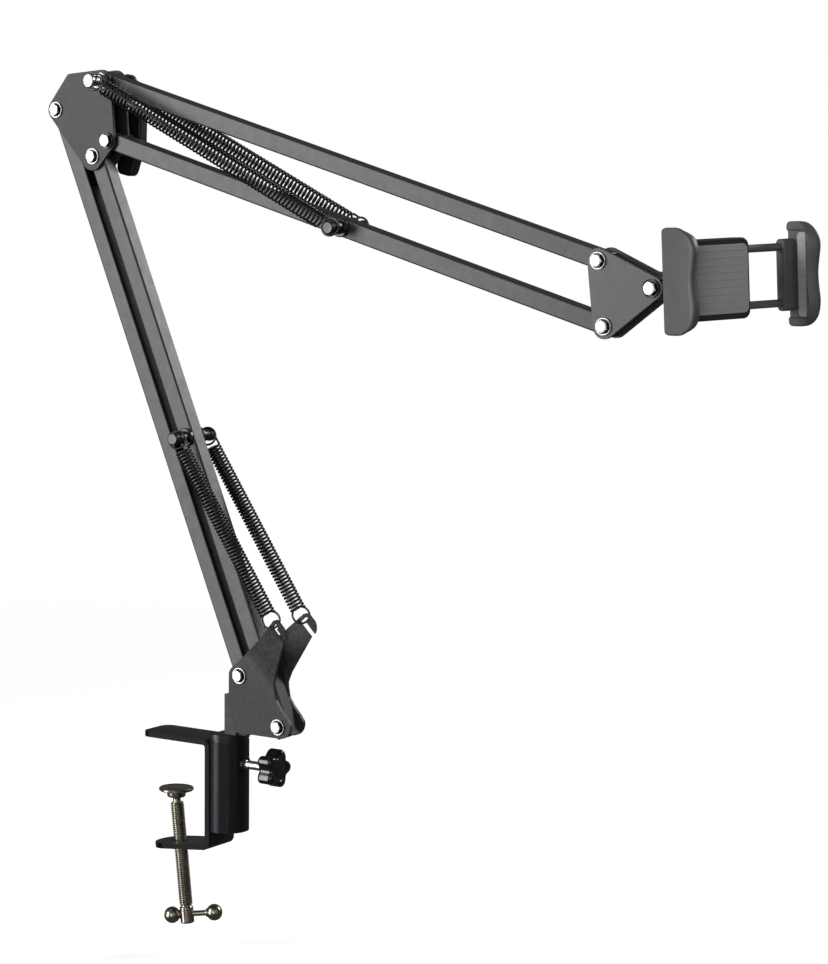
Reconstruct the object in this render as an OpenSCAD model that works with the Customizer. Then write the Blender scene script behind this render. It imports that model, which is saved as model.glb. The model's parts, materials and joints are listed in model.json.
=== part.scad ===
// Desk-clamp holder arm: two spring-balanced parallel-tube stages with a
// swivelling, spring-jaw clip at the end. Millimetres, +Z up, +X from the
// clamp towards the clip side, Y across the arm. The origin is in the middle
// of the clamp's top plate, on the underside that bears on the desk edge.

/* [Arm] */
// Width of the square arm tubes
tube_w = 10; // [9.6:0.1:10.4]
// Wall of the arm tubes
tube_wall = 1; // [0.8:0.1:1.4]
// Lean of the lower stage, from +X towards +Z
lower_angle = 112.65; // [108:0.05:116]
// Hole distance of the lower tubes
lower_len = 341.3; // [338:0.1:344]
// Slope of the upper stage, from +X towards +Z
upper_angle = -15.95; // [-20:0.05:-12]
// Hole distance of the upper tubes
upper_len = 336.9; // [334:0.1:340]
// Thickness of the joint plates
plate_t = 2; // [1.8:0.1:2.2]
// Hole distance from the lower tube to the spring pin along the tube
lower_pin_at = 171.2; // [160:0.1:180]
// Hole distance from the lower hole of the upper stage to its spring pin
upper_pin_at = 166.3; // [155:0.1:175]

/* [Clamp] */
// Width of the clamp strip
strip_w = 24; // [22:0.5:25]
// Thickness of the clamp strip
strip_t = 3; // [2.6:0.1:3]
// Height of the screw pad's bearing face below the desk face
pad_z = -30; // [-34:0.5:-26]
// Slope of the lower clamp plate
plate_slope = 6.3; // [6:0.1:6.6]

/* [Springs] */
// Outer radius of the spring coils
coil_r = 4.6; // [4.4:0.1:4.8]
// Wire radius of the springs
wire_r = 0.6; // [0.5:0.05:0.65]
// Distance of the springs from the arm's middle plane
spring_y = 14; // [13.8:0.1:14.2]

/* [Clip] */
// Half the width between the jaws' pads
jaw_half = 37.1; // [36:0.1:38]
// Half the height of the jaws
jaw_h = 26; // [24:0.5:27]

/* [Hidden] */

// The arm's swivel axis stands this far from the origin; the modules below are
// drawn from that axis
swivel_x = 35.2;

// Pivot holes in the X-Z plane
P1 = [8.56, 41.43];
V1 = [26.68, -26.28];
P2 = P1 + V1;
DL = [cos(lower_angle), sin(lower_angle)];
P3 = P1 + lower_len*DL;
P4 = P3 + V1;
P5 = P3 + [37.05, -17.4];
V2 = [-3.9, 33.4];
P6 = P5 + V2;
DU = [cos(upper_angle), sin(upper_angle)];
T2 = P5 + upper_len*DU;
T1 = T2 + V2;
T3 = T2 + [27.1, 20.3];
PB = P2 + lower_pin_at*DL;
PD = P5 + upper_pin_at*DU;
HK = [35.1, 76.5];           // hook seat of the lower springs' rings
h = tube_w/2;
yi = h + 0.3;                // inner face of the joint plates
yo = yi + plate_t;           // outer face of the joint plates
wash = 0.9;
adapter_tilt = 13;
BALL = [T3[0] + 26*cos(adapter_tilt), 0, T3[1] + 26*sin(adapter_tilt)];
sa = [-38.6, 0, -60.8];      // where the clamp screw crosses its plate

// ---- helpers ----
module xz(y0, t) { translate([0,y0,0]) rotate([90,0,0]) linear_extrude(t) children(); }
module ycyl(p, y0, y1, r, fn=48) {
  translate([p[0], y0, p[1]]) rotate([-90,0,0]) cylinder(r=r, h=y1-y0, $fn=fn);
}
function tang(c1, c2) = let(d=[c2[0]-c1[0], c2[1]-c1[1]], L=norm(d),
  a=atan2(d[1],d[0]) - acos((c1[2]-c2[2])/L), n=[cos(a),sin(a)])
  [[c1[0]+c1[2]*n[0], c1[1]+c1[2]*n[1]], [c2[0]+c2[2]*n[0], c2[1]+c2[2]*n[1]]];
// outline round circles [x,y,r] given anticlockwise
module blob(cs) {
  n = len(cs);
  polygon([for (i=[0:n-1]) for (p=tang(cs[i], cs[(i+1)%n])) p]);
  for (c=cs) translate([c[0],c[1]]) circle(r=c[2], $fn=48);
}
module rsq(w, r) {
  square([w-2*r, w], center=true);
  square([w, w-2*r], center=true);
  for (x=[-1,1], y=[-1,1]) translate([x*(w/2-r), y*(w/2-r)]) circle(r=r, $fn=32);
}
module arm_tube(p, ang, l0, l1, holes, hr) {
  translate([p[0],0,p[1]]) rotate([0,-ang,0]) difference() {
    translate([l0,0,0]) rotate([90,0,90]) linear_extrude(l1-l0) rsq(tube_w, 1.1);
    translate([l0-1,0,0]) rotate([90,0,90]) linear_extrude(l1-l0+2) rsq(tube_w-2*tube_wall, 0.5);
    for (i=[0:len(holes)-1]) translate([holes[i], -h-1, 0]) rotate([-90,0,0])
      cylinder(r=hr[i], h=tube_w+2, $fn=48);
  }
}
module hex_bolt(p, y_head, y_end, r=2, af=7, hh=2.8) {
  difference() {
    union() {
      translate([p[0], y_head, p[1]]) rotate([90,0,0]) rotate([0,0,12]) cylinder(r=af/2/cos(30), h=hh, $fn=6);
      ycyl(p, y_head-0.01, y_end, r);
    }
  }
}
module washer(p, y0, r0=2.1, r1=4.6) { difference() { ycyl(p, y0, y0+wash, r1); ycyl(p, y0-1, y0+wash+1, r0); } }
module hex_nut(p, y0, t=3.2, r0=2, af=7) {
  difference() {
    translate([p[0], y0, p[1]]) rotate([-90,0,0]) rotate([0,0,20]) cylinder(r=af/2/cos(30), h=t, $fn=6);
    ycyl(p, y0-1, y0+t+1, r0);
  }
}
// lobed grip outline: n lobes of radius rl on pitch rp
module lobes(n, rp, rl, core) { circle(r=core, $fn=60); for (i=[0:n-1]) rotate(i*360/n) translate([rp,0]) circle(r=rl, $fn=32); }

// ---- clamp ----
lp_len = 41.8/cos(plate_slope);
module clamp_bracket() color([0.13,0.13,0.14]) {
  xi = -12.2; xo = xi + strip_t; w = strip_w;
  // desk plate with a rounded far end
  difference() {
    union() {
      translate([-52,-w/2,0]) cube([52+xi-1.5, w, strip_t]);
      translate([-58,-w/2+6,0]) cube([7, w-12, strip_t]);
      for (s=[-1,1]) translate([-52, s*(w/2-6), 0]) cylinder(r=6, h=strip_t, $fn=48);
      // upper bend
      translate([xi-1.5, 0, -1.5]) rotate([90,0,0]) intersection() {
        cylinder(r=1.5+strip_t, h=w, center=true, $fn=48);
        translate([0,0,-w]) cube([20,20,2*w]);
      }
      // web
      translate([xi,-w/2,-56.2]) cube([strip_t, w, 54.7]);
      // lower bend and lower plate
      translate([xi-1.5, 0, -56.2]) rotate([90,0,0]) intersection() {
        cylinder(r=1.5+strip_t, h=w, center=true, $fn=48);
        translate([0,-20,-w]) cube([20,20,2*w]);
      }
      translate([xi-1.5,0,-56.2]) rotate([0,-plate_slope,0]) {
        difference() {
          union() {
            translate([-28.4,-w/2,-1.5-strip_t]) cube([28.4+0.6, w, strip_t]);
            translate([-28.4,0,-1.5-strip_t]) cylinder(r=w/2, h=strip_t, $fn=64);
          }
        }
      }
    }
    translate([xi-1.5, 0, -1.5]) rotate([90,0,0]) cylinder(r=1.5, h=w+2, center=true, $fn=48);
    translate([xi-1.5, 0, -56.2]) rotate([90,0,0]) cylinder(r=1.5, h=w+2, center=true, $fn=48);
    translate(sa) rotate([0,-plate_slope,0]) cylinder(r=3.98, h=14, center=true, $fn=48);
  }
}
module dshape(r, x0, xc) {
  intersection() { translate([xc,0]) circle(r=r, $fn=64); translate([x0,-2*r]) square([4*r, 4*r]); }
}
module socket_shell() color([0.13,0.13,0.14]) {
  difference() {
    union() {
      translate([0,0,-49.5]) linear_extrude(52.1) dshape(12, -9.2, -4.5);
      translate([5,0,-10.5]) rotate([0,90,0]) cylinder(r=4.2, h=3.3, $fn=48);
    }
    translate([0,0,-50.5]) linear_extrude(54.1) difference() {
      dshape(10, -10.2, -4.5);
    }
    translate([0,0,-10.5]) rotate([0,90,0]) cylinder(r=2.52, h=12, $fn=40);
  }
}
module socket_bush() color([0.1,0.1,0.1]) {
  difference() {
    union() {
      translate([0,0,-40]) linear_extrude(42.6) dshape(9.9, -9.1, -4.5);
      translate([0,0,2.6]) linear_extrude(1.4) dshape(11.7, -9.0, -4.4);
      translate([0,0,4.0]) linear_extrude(2.8) dshape(12.1, -9.2, -4.5);
    }
    translate([0,0,-41]) cylinder(r=4.55, h=50, $fn=48);
    translate([0,0,-10.5]) rotate([0,90,0]) cylinder(r=2.6, h=12, $fn=40);
  }
}
module at_screw() { translate(sa) rotate([0,-plate_slope,0]) children(); }
tip_s = (pad_z - sa[2] - 4.2)/cos(plate_slope);
module screw_pad() color([0.55,0.54,0.5]) {
  c = [sa[0]-sin(plate_slope)*tip_s, 0, sa[2]+cos(plate_slope)*tip_s];
  difference() {
    union() {
      translate([c[0],0,pad_z-1.8]) cylinder(r=10, h=1.8, $fn=64);
      translate([c[0],0,pad_z-5.4]) cylinder(r=5.4, h=4, $fn=48);
    }
    translate(c) sphere(r=3.25, $fn=48);
    translate([c[0],0,pad_z-8]) cylinder(r=3.05, h=4, $fn=48);
  }
}
module clamp_screw() color([0.62,0.6,0.56]) at_screw() difference() {
  union() {
    translate([0,0,tip_s]) sphere(r=3.2, $fn=48);
    translate([0,0,tip_s-4.2]) cylinder(r=2.2, h=4, $fn=40);
    translate([0,0,-38.2]) cylinder(r=3.93, h=tip_s-4.2+38.2, $fn=48);
    translate([0,0,-48.2]) cylinder(r=3.93, h=10.4, $fn=48);
  }
  translate([0,0,-43]) rotate([0,0,27]) rotate([0,90,0]) cylinder(r=1.68, h=20, center=true, $fn=40);
}
module at_bar() { at_screw() translate([0,0,-43]) rotate([0,0,27]) rotate([0,90,0]) children(); }
module tommy_bar() color([0.62,0.6,0.56]) at_bar() translate([0,0,-9.5]) cylinder(r=1.6, h=26, $fn=40);
module tommy_bar_balls() color([0.62,0.6,0.56]) at_bar() for (s=[-8.6, 16.1]) difference() {
  translate([0,0,s]) sphere(r=4.8, $fn=48);
  translate([0,0, s<0 ? s-1 : s-8]) cylinder(r=1.6, h=9, $fn=40);
}
module lock_stud() color([0.8,0.8,0.82]) translate([4.6,0,-10.5]) rotate([0,90,0]) cylinder(r=2.5, h=22.4, $fn=40);
module lock_knob() color([0.08,0.08,0.09]) translate([21.2,0,-10.5]) rotate([0,90,0]) difference() {
  union() {
    translate([0,0,0.8]) linear_extrude(9.4) lobes(5, 7.2, 3.9, 8.6);
    cylinder(r=5, h=2, $fn=48);
    translate([0,0,10.1]) linear_extrude(0.9) lobes(5, 6.8, 3.2, 8);
  }
  translate([0,0,-1]) cylinder(r=2.5, h=6.8, $fn=40);
}

// ---- base ----
module swivel_pin() color([0.6,0.6,0.6]) {
  translate([0,0,-36]) cylinder(r=4.5, h=43, $fn=48);
}
be = 44.6;                   // slope of the bend lines of the base bracket
ue = [sin(be), cos(be)]; we = [cos(be), -sin(be)];
ub = 13.5; flare = atan((spring_y - yi - plate_t/2)/(43.6-ub));
function uw(u,w) = [P1[0]+u*ue[0]+w*we[0], P1[1]+u*ue[1]+w*we[1]];
module ear2d() {
  k = 1/cos(flare);
  difference() {
    polygon([for (p=[[-6.0,13.5],[-4.3,29.2],[-4.1,45.0],[-3.2,46.9],[-1.4,47.7],[3.6,47.7],[5.6,47.0],[8.2,44.9],[8.8,43.9],[8.8,40.9],[16.1,20.1],[19.9,13.5]]) [p[0], (p[1]-ub)*k]]);
    translate([-0.35, (40.9-ub)*k]) square([20, 2.4]);
    translate([-0.55, (42.1-ub)*k+0.2]) circle(r=1.4, $fn=32);
    translate([-2.1, (40.9-ub)*k]) square([2.95, 4.6]);
    translate([-0.55, (42.1-ub)*k+3.3]) circle(r=1.4, $fn=32);
  }
}
module bracket_side() {
  difference() {
    union() {
      xz(-yi, plate_t) {
        polygon([[-1.8,7],[6,7],[6,8.75],[36.6,8.75],[42.8,16.5],[41.3,20.6],[36.8,25.3],[33.6,30],[32.6,35.5],
          uw(ub,19.9), uw(ub,-6), [4.2,45.4], [1.6,41.5], [1.15,30.4], [-1.8,30]]);
        translate([36.6,15.9]) circle(r=7.2, $fn=48);
        translate([7.3,40.9]) circle(r=6.2, $fn=48);
      }
      translate([0,-yi-plate_t/2,0]) rotate([90,0,0]) translate(uw(ub,0)) rotate([0,0,-be]) {
        rotate([flare,0,0]) translate([0,0,-plate_t/2]) linear_extrude(plate_t) ear2d();
        translate([-5.9,0,0]) rotate([0,90,0]) cylinder(r=plate_t/2-0.03, h=25.7, $fn=32);
      }
    }
    ycyl(P1, -yo-2, -yi+2, 2.02); ycyl(P2, -yo-2, -yi+2, 2.02);
  }
}
module base_bracket() color([0.3,0.3,0.32]) {
  bracket_side();
  mirror([0,1,0]) bracket_side();
  translate([-1.8,-yi-0.01,7]) cube([2, 2*yi+0.02, 23]);
  translate([-1.8,-yi-0.01,7]) cube([14, 2*yi+0.02, 2]);
}
module base_bolts() color([0.85,0.85,0.86]) for (p=[P1,P2]) hex_bolt(p, -yo-wash, yo+wash+3.6);
module base_washers() color([0.85,0.85,0.86]) for (p=[P1,P2], y=[-yo-wash, yo]) washer(p, y);
module base_nuts() color([0.8,0.8,0.82]) for (p=[P1,P2]) hex_nut(p, yo+wash);

// ---- lower stage ----
module lower_tube_left() color([0.44,0.44,0.45])
  arm_tube(P1, lower_angle, -5, lower_len+3.5, [0, lower_len], [2.05, 2.05]);
module lower_tube_right() color([0.44,0.44,0.45])
  arm_tube(P2, lower_angle, -6.6, lower_len+3.5, [0, lower_pin_at, lower_len], [2.05, 2.5, 2.45]);
module cross_pin(p) {
  ycyl(p, -18.2, 18.2, 2.5);
  for (s=[0,1]) mirror([0,s,0]) {
    ycyl(p, -18.2, -16.6, 3.6);
    ycyl(p, -7.0, -h, 5.3);
    ycyl(p, -11.2, -6.9, 3.6);
  }
}
module rollers(p) for (s=[0,1]) mirror([0,s,0]) difference() {
  union() { ycyl(p, -16.3, -11.5, 3.3); ycyl(p, -16.3, -15.9, 3.65); }
  ycyl(p, -17, -11, 2.55);
}
module lower_spring_pin() color([0.2,0.2,0.21]) cross_pin(PB);
module lower_pin_rollers() color([0.08,0.08,0.08]) rollers(PB);

// spring between two ring centres a and b in the X-Z plane, at depth y; rings
// tilted by be_a and be_b about the spring's own line
module spring(a, b, y, ta, tb, ga=9, gb=9) {
  d = b - a; L = norm(d); ang = atan2(d[1], d[0]);
  translate([a[0], y, a[1]]) rotate([0,-ang,0]) {
    difference() {
      translate([ga,0,0]) rotate([0,90,0]) cylinder(r=coil_r, h=L-ga-gb, $fn=40);
      translate([ga-1,0,0]) rotate([0,90,0]) cylinder(r=coil_r-2*wire_r, h=L-ga-gb+2, $fn=40);
    }
    rotate([ta,0,0]) { rotate([90,0,0]) rotate_extrude($fn=48) translate([4.9,0]) circle(r=wire_r, $fn=16);
      translate([2.83,0,4.0]) rotate([0,90,0]) cylinder(r=wire_r-0.06, h=ga-2.83+1, $fn=16); }
    translate([L,0,0]) rotate([tb,0,0]) { rotate([90,0,0]) rotate_extrude($fn=48) translate([4.9,0]) circle(r=wire_r, $fn=16);
      translate([-gb-1,0,4.0]) rotate([0,90,0]) cylinder(r=wire_r-0.06, h=gb-2.83+1, $fn=16); }
  }
}
dlow = (HK-PB)/norm(HK-PB);
module lower_spring_front() color([0.06,0.06,0.06]) spring(PB+0.9*dlow, HK, -spring_y, -20, -40, 7, 6.3);
module lower_spring_back()  color([0.06,0.06,0.06]) spring(PB+0.9*dlow, HK,  spring_y, -20, -62, 7, 6.3);

// ---- elbow ----
module elbow_plate(y0) difference() {
  xz(y0, plate_t) blob([[-97,329.4,7.4],[-82.4,337.6,2.1],[P6[0],P6[1],6.5],[-113.2,374.6,2.2],[P3[0],P3[1],6.0]]);
  for (p=[P3,P4,P5]) ycyl(p, y0-plate_t-1, y0+1, 2.02);
  ycyl(P6, y0-plate_t-1, y0+1, 3.02);
}
module elbow_plate_front() color([0.37,0.37,0.38]) elbow_plate(-yi);
module elbow_plate_back()  color([0.37,0.37,0.38]) elbow_plate(yo);
module elbow_bolts() color([0.85,0.85,0.86]) for (p=[P3,P4]) hex_bolt(p, -yo-wash, yo+wash+3.6);
module elbow_washers() color([0.85,0.85,0.86]) for (p=[P3,P4], y=[-yo-wash, yo]) washer(p, y);
module elbow_nuts() color([0.8,0.8,0.82]) for (p=[P3,P4]) hex_nut(p, yo+wash);
module knob_bolt(p) {
  difference() {
    union() {
      translate([p[0], -yo-0.8, p[1]]) rotate([90,0,0]) rotate([0,0,12]) cylinder(r=3.5/cos(30), h=2.8, $fn=6);
      ycyl(p, -yo-0.81, 17.2, 2);
    }
  }
}
module knob_washer(p) difference() { ycyl(p, -yo-0.8, -yo, 4.7); ycyl(p, -yo-2, -yo+1, 2.1); }
module elbow_knob_bolt() color([0.85,0.85,0.86]) knob_bolt(P5);
module elbow_knob_washer() color([0.1,0.1,0.1]) knob_washer(P5);
module wing_knob(p, tilt, up, dn) translate([p[0],0,p[1]]) difference() {
  union() {
    rotate([0,tilt,0]) xz(19.7, 7.2) blob([[-2.2,-(dn-4.2),3.6],[2.2,-(dn-4.2),3.6],[5.2,0,3],[2.4,up-3.4,3.0],[-2.4,up-3.4,3.0],[-5.2,0,3]]);
    ycyl([0,0], yo+0.1, 13, 6);
  }
  ycyl([0,0], 6, 17.4, 2.05);
}
module elbow_knob() color([0.09,0.09,0.09]) wing_knob(P5, 12, 19, 20.5);
module spring_post() color([0.82,0.82,0.84]) {
  ycyl(P6, -18.6, 18.4, 3.0);
  ycyl(P6, -19.6, -17.4, 3.9);
}
module post_cap() color([0.06,0.06,0.06]) difference() {
  union() { ycyl(P6, 17.1, 20.2, 4.5); ycyl(P6, 20.1, 20.8, 3.6); }
  ycyl(P6, 16, 18.4, 3.0);
}
module post_collars() color([0.82,0.82,0.84]) for (s=[0,1]) mirror([0,s,0]) difference() {
  union() { ycyl(P6, -8.6, -yo-0.02, 4.9); ycyl(P6, -11.2, -8.5, 4.0); }
  ycyl(P6, -12, -yo+1, 3.0);
}

// ---- upper stage ----
module upper_tube_top() color([0.44,0.44,0.45])
  arm_tube(P6, upper_angle, -3.5, upper_len+3.5, [0, upper_len], [3.05, 2.05]);
module upper_tube_bottom() color([0.44,0.44,0.45])
  arm_tube(P5, upper_angle, 6.2, upper_len+3.5, [upper_pin_at, upper_len], [2.5, 2.45]);
module friction_plug() color([0.08,0.08,0.08])
  translate([P5[0],0,P5[1]]) rotate([0,-upper_angle,0]) difference() {
    union() {
      rotate([90,0,0]) cylinder(r=4.9, h=tube_w, center=true, $fn=48);
      translate([0,-h,-4.4]) cube([6.2, tube_w, 8.8]);
      translate([6.1,0,0]) rotate([90,0,90]) linear_extrude(14) rsq(tube_w-2*tube_wall-0.1, 0.6);
    }
    rotate([90,0,0]) cylinder(r=2.05, h=20, center=true, $fn=48);
  }
module upper_spring_pin() color([0.2,0.2,0.21]) cross_pin(PD);
module upper_pin_rollers() color([0.08,0.08,0.08]) rollers(PD);
dup = (PD-P6)/norm(PD-P6);
module upper_spring_front() color([0.06,0.06,0.06]) spring(P6+1.2*dup, PD-0.9*dup, -spring_y, -20, -20, 6.6, 7);
module upper_spring_back()  color([0.06,0.06,0.06]) spring(P6+1.2*dup, PD-0.9*dup,  spring_y, -20, -20, 6.6, 7);

// ---- tip ----
module tip_plate(y0) difference() {
  xz(y0, plate_t) blob([[T2[0],T2[1],6.5],[T3[0],T3[1],6.1],[T1[0],T1[1],6.5]]);
  for (p=[T1,T2,T3]) ycyl(p, y0-plate_t-1, y0+1, 2.02);
}
module tip_plate_front() color([0.42,0.42,0.43]) tip_plate(-yi);
module tip_plate_back()  color([0.42,0.42,0.43]) tip_plate(yo);
module tip_bolts() color([0.85,0.85,0.86]) for (p=[T1,T2]) hex_bolt(p, -yo-wash, yo+wash+3.6);
module tip_washers() color([0.85,0.85,0.86]) for (p=[T1,T2], y=[-yo-wash, yo]) washer(p, y);
module tip_nuts() color([0.8,0.8,0.82]) for (p=[T1,T2]) hex_nut(p, yo+wash);
module tip_knob_bolt() color([0.85,0.85,0.86]) knob_bolt(T3);
module tip_knob_washer() color([0.1,0.1,0.1]) knob_washer(T3);
module tip_knob() color([0.09,0.09,0.09]) wing_knob(T3, 100, 14, 14);

// ---- ball joint ----
module at_adapter() { translate([T3[0],0,T3[1]]) rotate([0,-adapter_tilt,0]) children(); }
module ball_socket() color([0.12,0.12,0.13]) at_adapter() difference() {
  union() {
    rotate([90,0,0]) cylinder(r=6.2, h=2*h, center=true, $fn=48);
    translate([0,-h,-4.6]) cube([15, 2*h, 9.2]);
    translate([11.2,0,0]) rotate([0,90,0]) cylinder(r1=7, r2=10, h=3.5, $fn=48);
    translate([14.6,0,0]) rotate([0,90,0]) cylinder(r=10.4, h=14.2, $fn=64);
  }
  rotate([90,0,0]) cylinder(r=2.05, h=30, center=true, $fn=48);
  translate([26,0,0]) sphere(r=8.6, $fn=64);
  translate([28.4,0,0]) rotate([0,90,0]) cylinder(r=8.25, h=4, $fn=64);
}
module socket_ring() color([0.12,0.12,0.13]) at_adapter() translate([17.2,0,0]) rotate([0,90,0]) difference() {
  union() {
    cylinder(r=12.2, h=12.4, $fn=64);
    for (i=[0:15]) rotate(i*22.5) translate([12.2,0,1]) cylinder(r=0.8, h=10, $fn=16);
  }
  translate([0,0,-1]) cylinder(r=10.46, h=12.8, $fn=64);
  translate([0,0,11]) cylinder(r=9.4, h=3, $fn=64);
}
module at_clip() { translate(BALL) rotate([2.2,-1.9,-25.8]) children(); }
module clip_ball() color([0.12,0.12,0.13]) translate(BALL) sphere(r=8.5, $fn=64);
module clip_stud() color([0.12,0.12,0.13]) at_clip() difference() {
  union() {
    translate([6,0,0]) rotate([0,90,0]) cylinder(r=3.2, h=8, $fn=48);
    translate([13.4,0,0]) rotate([0,90,0]) cylinder(r=9, h=1.9, $fn=64);
    translate([15.2,0,0]) rotate([0,90,0]) cylinder(r=4, h=5, $fn=48);
  }
  sphere(r=8.55, $fn=64);
}
// clip body: moulded housing behind the held device
bx0 = 15.6; bx1 = 28.2; by0 = -31; by1 = 7.5; bz = 20;
module rbox(x0,x1,y0,y1,z,r) {
  translate([x0,0,0]) rotate([90,0,90]) linear_extrude(x1-x0) {
    translate([y0,-z+r]) square([y1-y0, 2*z-2*r]);
    translate([y0+r,-z]) square([y1-y0-2*r, 2*z]);
    for (y=[y0+r,y1-r], s=[-1,1]) translate([y, s*(z-r)]) circle(r=r, $fn=32);
  }
}
rod_l = 23; rod_z = 14;      // where the two guide rods run
module clip_body() color([0.3,0.3,0.31]) at_clip() difference() {
  rbox(bx0, bx1, by0, by1, bz, 4);
  for (s=[-1,1]) translate([rod_l, 0, s*rod_z]) rotate([-90,0,0]) {
    cylinder(r=2.05, h=20, $fn=40);
    translate([0,0,by0-1]) cylinder(r=3.1, h=by1-3-by0+1, $fn=40);
  }
  translate([bx0-1,0,0]) rotate([0,90,0]) cylinder(r=4.05, h=5.8, $fn=48);
}
module back_pad() color([0.55,0.55,0.56]) at_clip() rbox(bx1, 29.6, by0+3, by1-2, bz-3, 3);
// wavy front edge of a jaw: reach along the clip's axis against height
function wave(z) = 40.6 + 1.9*cos(z*360/32.5 - 180) * (abs(z)<24 ? 1 : 1) - (abs(z) > 16 ? pow((abs(z)-16)/10, 2.2)*11 : 0);
zs = [for (i=[-26:2:26]) i];
module jaw_side(y0, y1, off=0) {
  // wall of the jaw, outline in the clip's X-Z plane
  translate([0,y1,0]) rotate([90,0,0]) linear_extrude(y1-y0)
    polygon(concat([[20, jaw_h-1.5],[20, -jaw_h+1.5],[21.5,-jaw_h]], [for (z=zs) [wave(z)+off, z]], [[21.5, jaw_h]]));
}
module jaw(sg, wall_in, wall_out) {
  // sg -1 near jaw, +1 far jaw
  a = min(sg*wall_in, sg*wall_out); b = max(sg*wall_in, sg*wall_out);
  jaw_side(a, b, 0);
  // lip that turns in over the front edge
  c = min(sg*(wall_in-3.6), sg*wall_out); e = max(sg*(wall_in-3.6), sg*wall_out);
  difference() {
    jaw_side(c, e, 2.6);
    translate([0, c-1, -40]) cube([39.2, e-c+2, 80]);
  }
  // foot towards the body
  f0 = sg < 0 ? by0 - 0.01 : 30.2;
  translate([20, min(sg*(wall_in+0.5), f0), -18]) cube([7, abs(sg*(wall_in+0.5) - f0), 36]);
}
module fixed_jaw() color([0.36,0.36,0.36]) at_clip() difference() {
  jaw(-1, jaw_half+0.9, 40.1);
  for (s=[-1,1]) translate([rod_l, -36.4, s*rod_z]) rotate([-90,0,0]) cylinder(r=3.1, h=6, $fn=40);
}
module sliding_jaw() color([0.36,0.36,0.36]) at_clip() difference() {
  jaw(1, jaw_half+0.9, 40.1);
  for (s=[-1,1]) translate([rod_l, 20, s*rod_z]) rotate([-90,0,0]) cylinder(r=2, h=16.5, $fn=40);
}
module pad_solid(sg) {
  a = sg*jaw_half; b = sg*(jaw_half+0.9);
  translate([0, max(a,b), 0]) rotate([90,0,0]) linear_extrude(0.9)
    polygon([[28.5,-21],[38.4,-19],[38.4,19],[28.5,21]]);
}
module fixed_pad() color([0.6,0.6,0.61]) at_clip() pad_solid(-1);
module sliding_pad() color([0.6,0.6,0.61]) at_clip() pad_solid(1);
module jaw_rods() color([0.75,0.75,0.76]) at_clip() for (s=[-1,1])
  translate([rod_l, 0, s*rod_z]) rotate([-90,0,0]) {
    translate([0,0,-15.5]) cylinder(r=2, h=52, $fn=40);
    translate([0,0,-15.5]) cylinder(r=2.9, h=1.6, $fn=40);
  }
module jaw_springs() color([0.7,0.7,0.7]) at_clip() for (s=[-1,1])
  translate([rod_l, -13.8, s*rod_z]) rotate([-90,0,0]) difference() {
    cylinder(r=2.95, h=13.8+by1-3.1, $fn=40);
    translate([0,0,-1]) cylinder(r=2.15, h=30, $fn=40);
  }

translate([swivel_x,0,0]) clamp_bracket();
translate([swivel_x,0,0]) socket_shell();
translate([swivel_x,0,0]) socket_bush();
translate([swivel_x,0,0]) screw_pad();
translate([swivel_x,0,0]) clamp_screw();
translate([swivel_x,0,0]) tommy_bar();
translate([swivel_x,0,0]) tommy_bar_balls();
translate([swivel_x,0,0]) lock_stud();
translate([swivel_x,0,0]) lock_knob();
translate([swivel_x,0,0]) swivel_pin();
translate([swivel_x,0,0]) base_bracket();
translate([swivel_x,0,0]) base_bolts();
translate([swivel_x,0,0]) base_washers();
translate([swivel_x,0,0]) base_nuts();
translate([swivel_x,0,0]) lower_tube_left();
translate([swivel_x,0,0]) lower_tube_right();
translate([swivel_x,0,0]) lower_spring_pin();
translate([swivel_x,0,0]) lower_pin_rollers();
translate([swivel_x,0,0]) lower_spring_front();
translate([swivel_x,0,0]) lower_spring_back();
translate([swivel_x,0,0]) elbow_plate_front();
translate([swivel_x,0,0]) elbow_plate_back();
translate([swivel_x,0,0]) elbow_bolts();
translate([swivel_x,0,0]) elbow_washers();
translate([swivel_x,0,0]) elbow_nuts();
translate([swivel_x,0,0]) elbow_knob_bolt();
translate([swivel_x,0,0]) elbow_knob_washer();
translate([swivel_x,0,0]) elbow_knob();
translate([swivel_x,0,0]) spring_post();
translate([swivel_x,0,0]) post_cap();
translate([swivel_x,0,0]) post_collars();
translate([swivel_x,0,0]) upper_tube_top();
translate([swivel_x,0,0]) upper_tube_bottom();
translate([swivel_x,0,0]) friction_plug();
translate([swivel_x,0,0]) upper_spring_pin();
translate([swivel_x,0,0]) upper_pin_rollers();
translate([swivel_x,0,0]) upper_spring_front();
translate([swivel_x,0,0]) upper_spring_back();
translate([swivel_x,0,0]) tip_plate_front();
translate([swivel_x,0,0]) tip_plate_back();
translate([swivel_x,0,0]) tip_bolts();
translate([swivel_x,0,0]) tip_washers();
translate([swivel_x,0,0]) tip_nuts();
translate([swivel_x,0,0]) tip_knob_bolt();
translate([swivel_x,0,0]) tip_knob_washer();
translate([swivel_x,0,0]) tip_knob();
translate([swivel_x,0,0]) ball_socket();
translate([swivel_x,0,0]) socket_ring();
translate([swivel_x,0,0]) clip_ball();
translate([swivel_x,0,0]) clip_stud();
translate([swivel_x,0,0]) clip_body();
translate([swivel_x,0,0]) back_pad();
translate([swivel_x,0,0]) fixed_jaw();
translate([swivel_x,0,0]) fixed_pad();
translate([swivel_x,0,0]) sliding_jaw();
translate([swivel_x,0,0]) sliding_pad();
translate([swivel_x,0,0]) jaw_rods();
translate([swivel_x,0,0]) jaw_springs();
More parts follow.
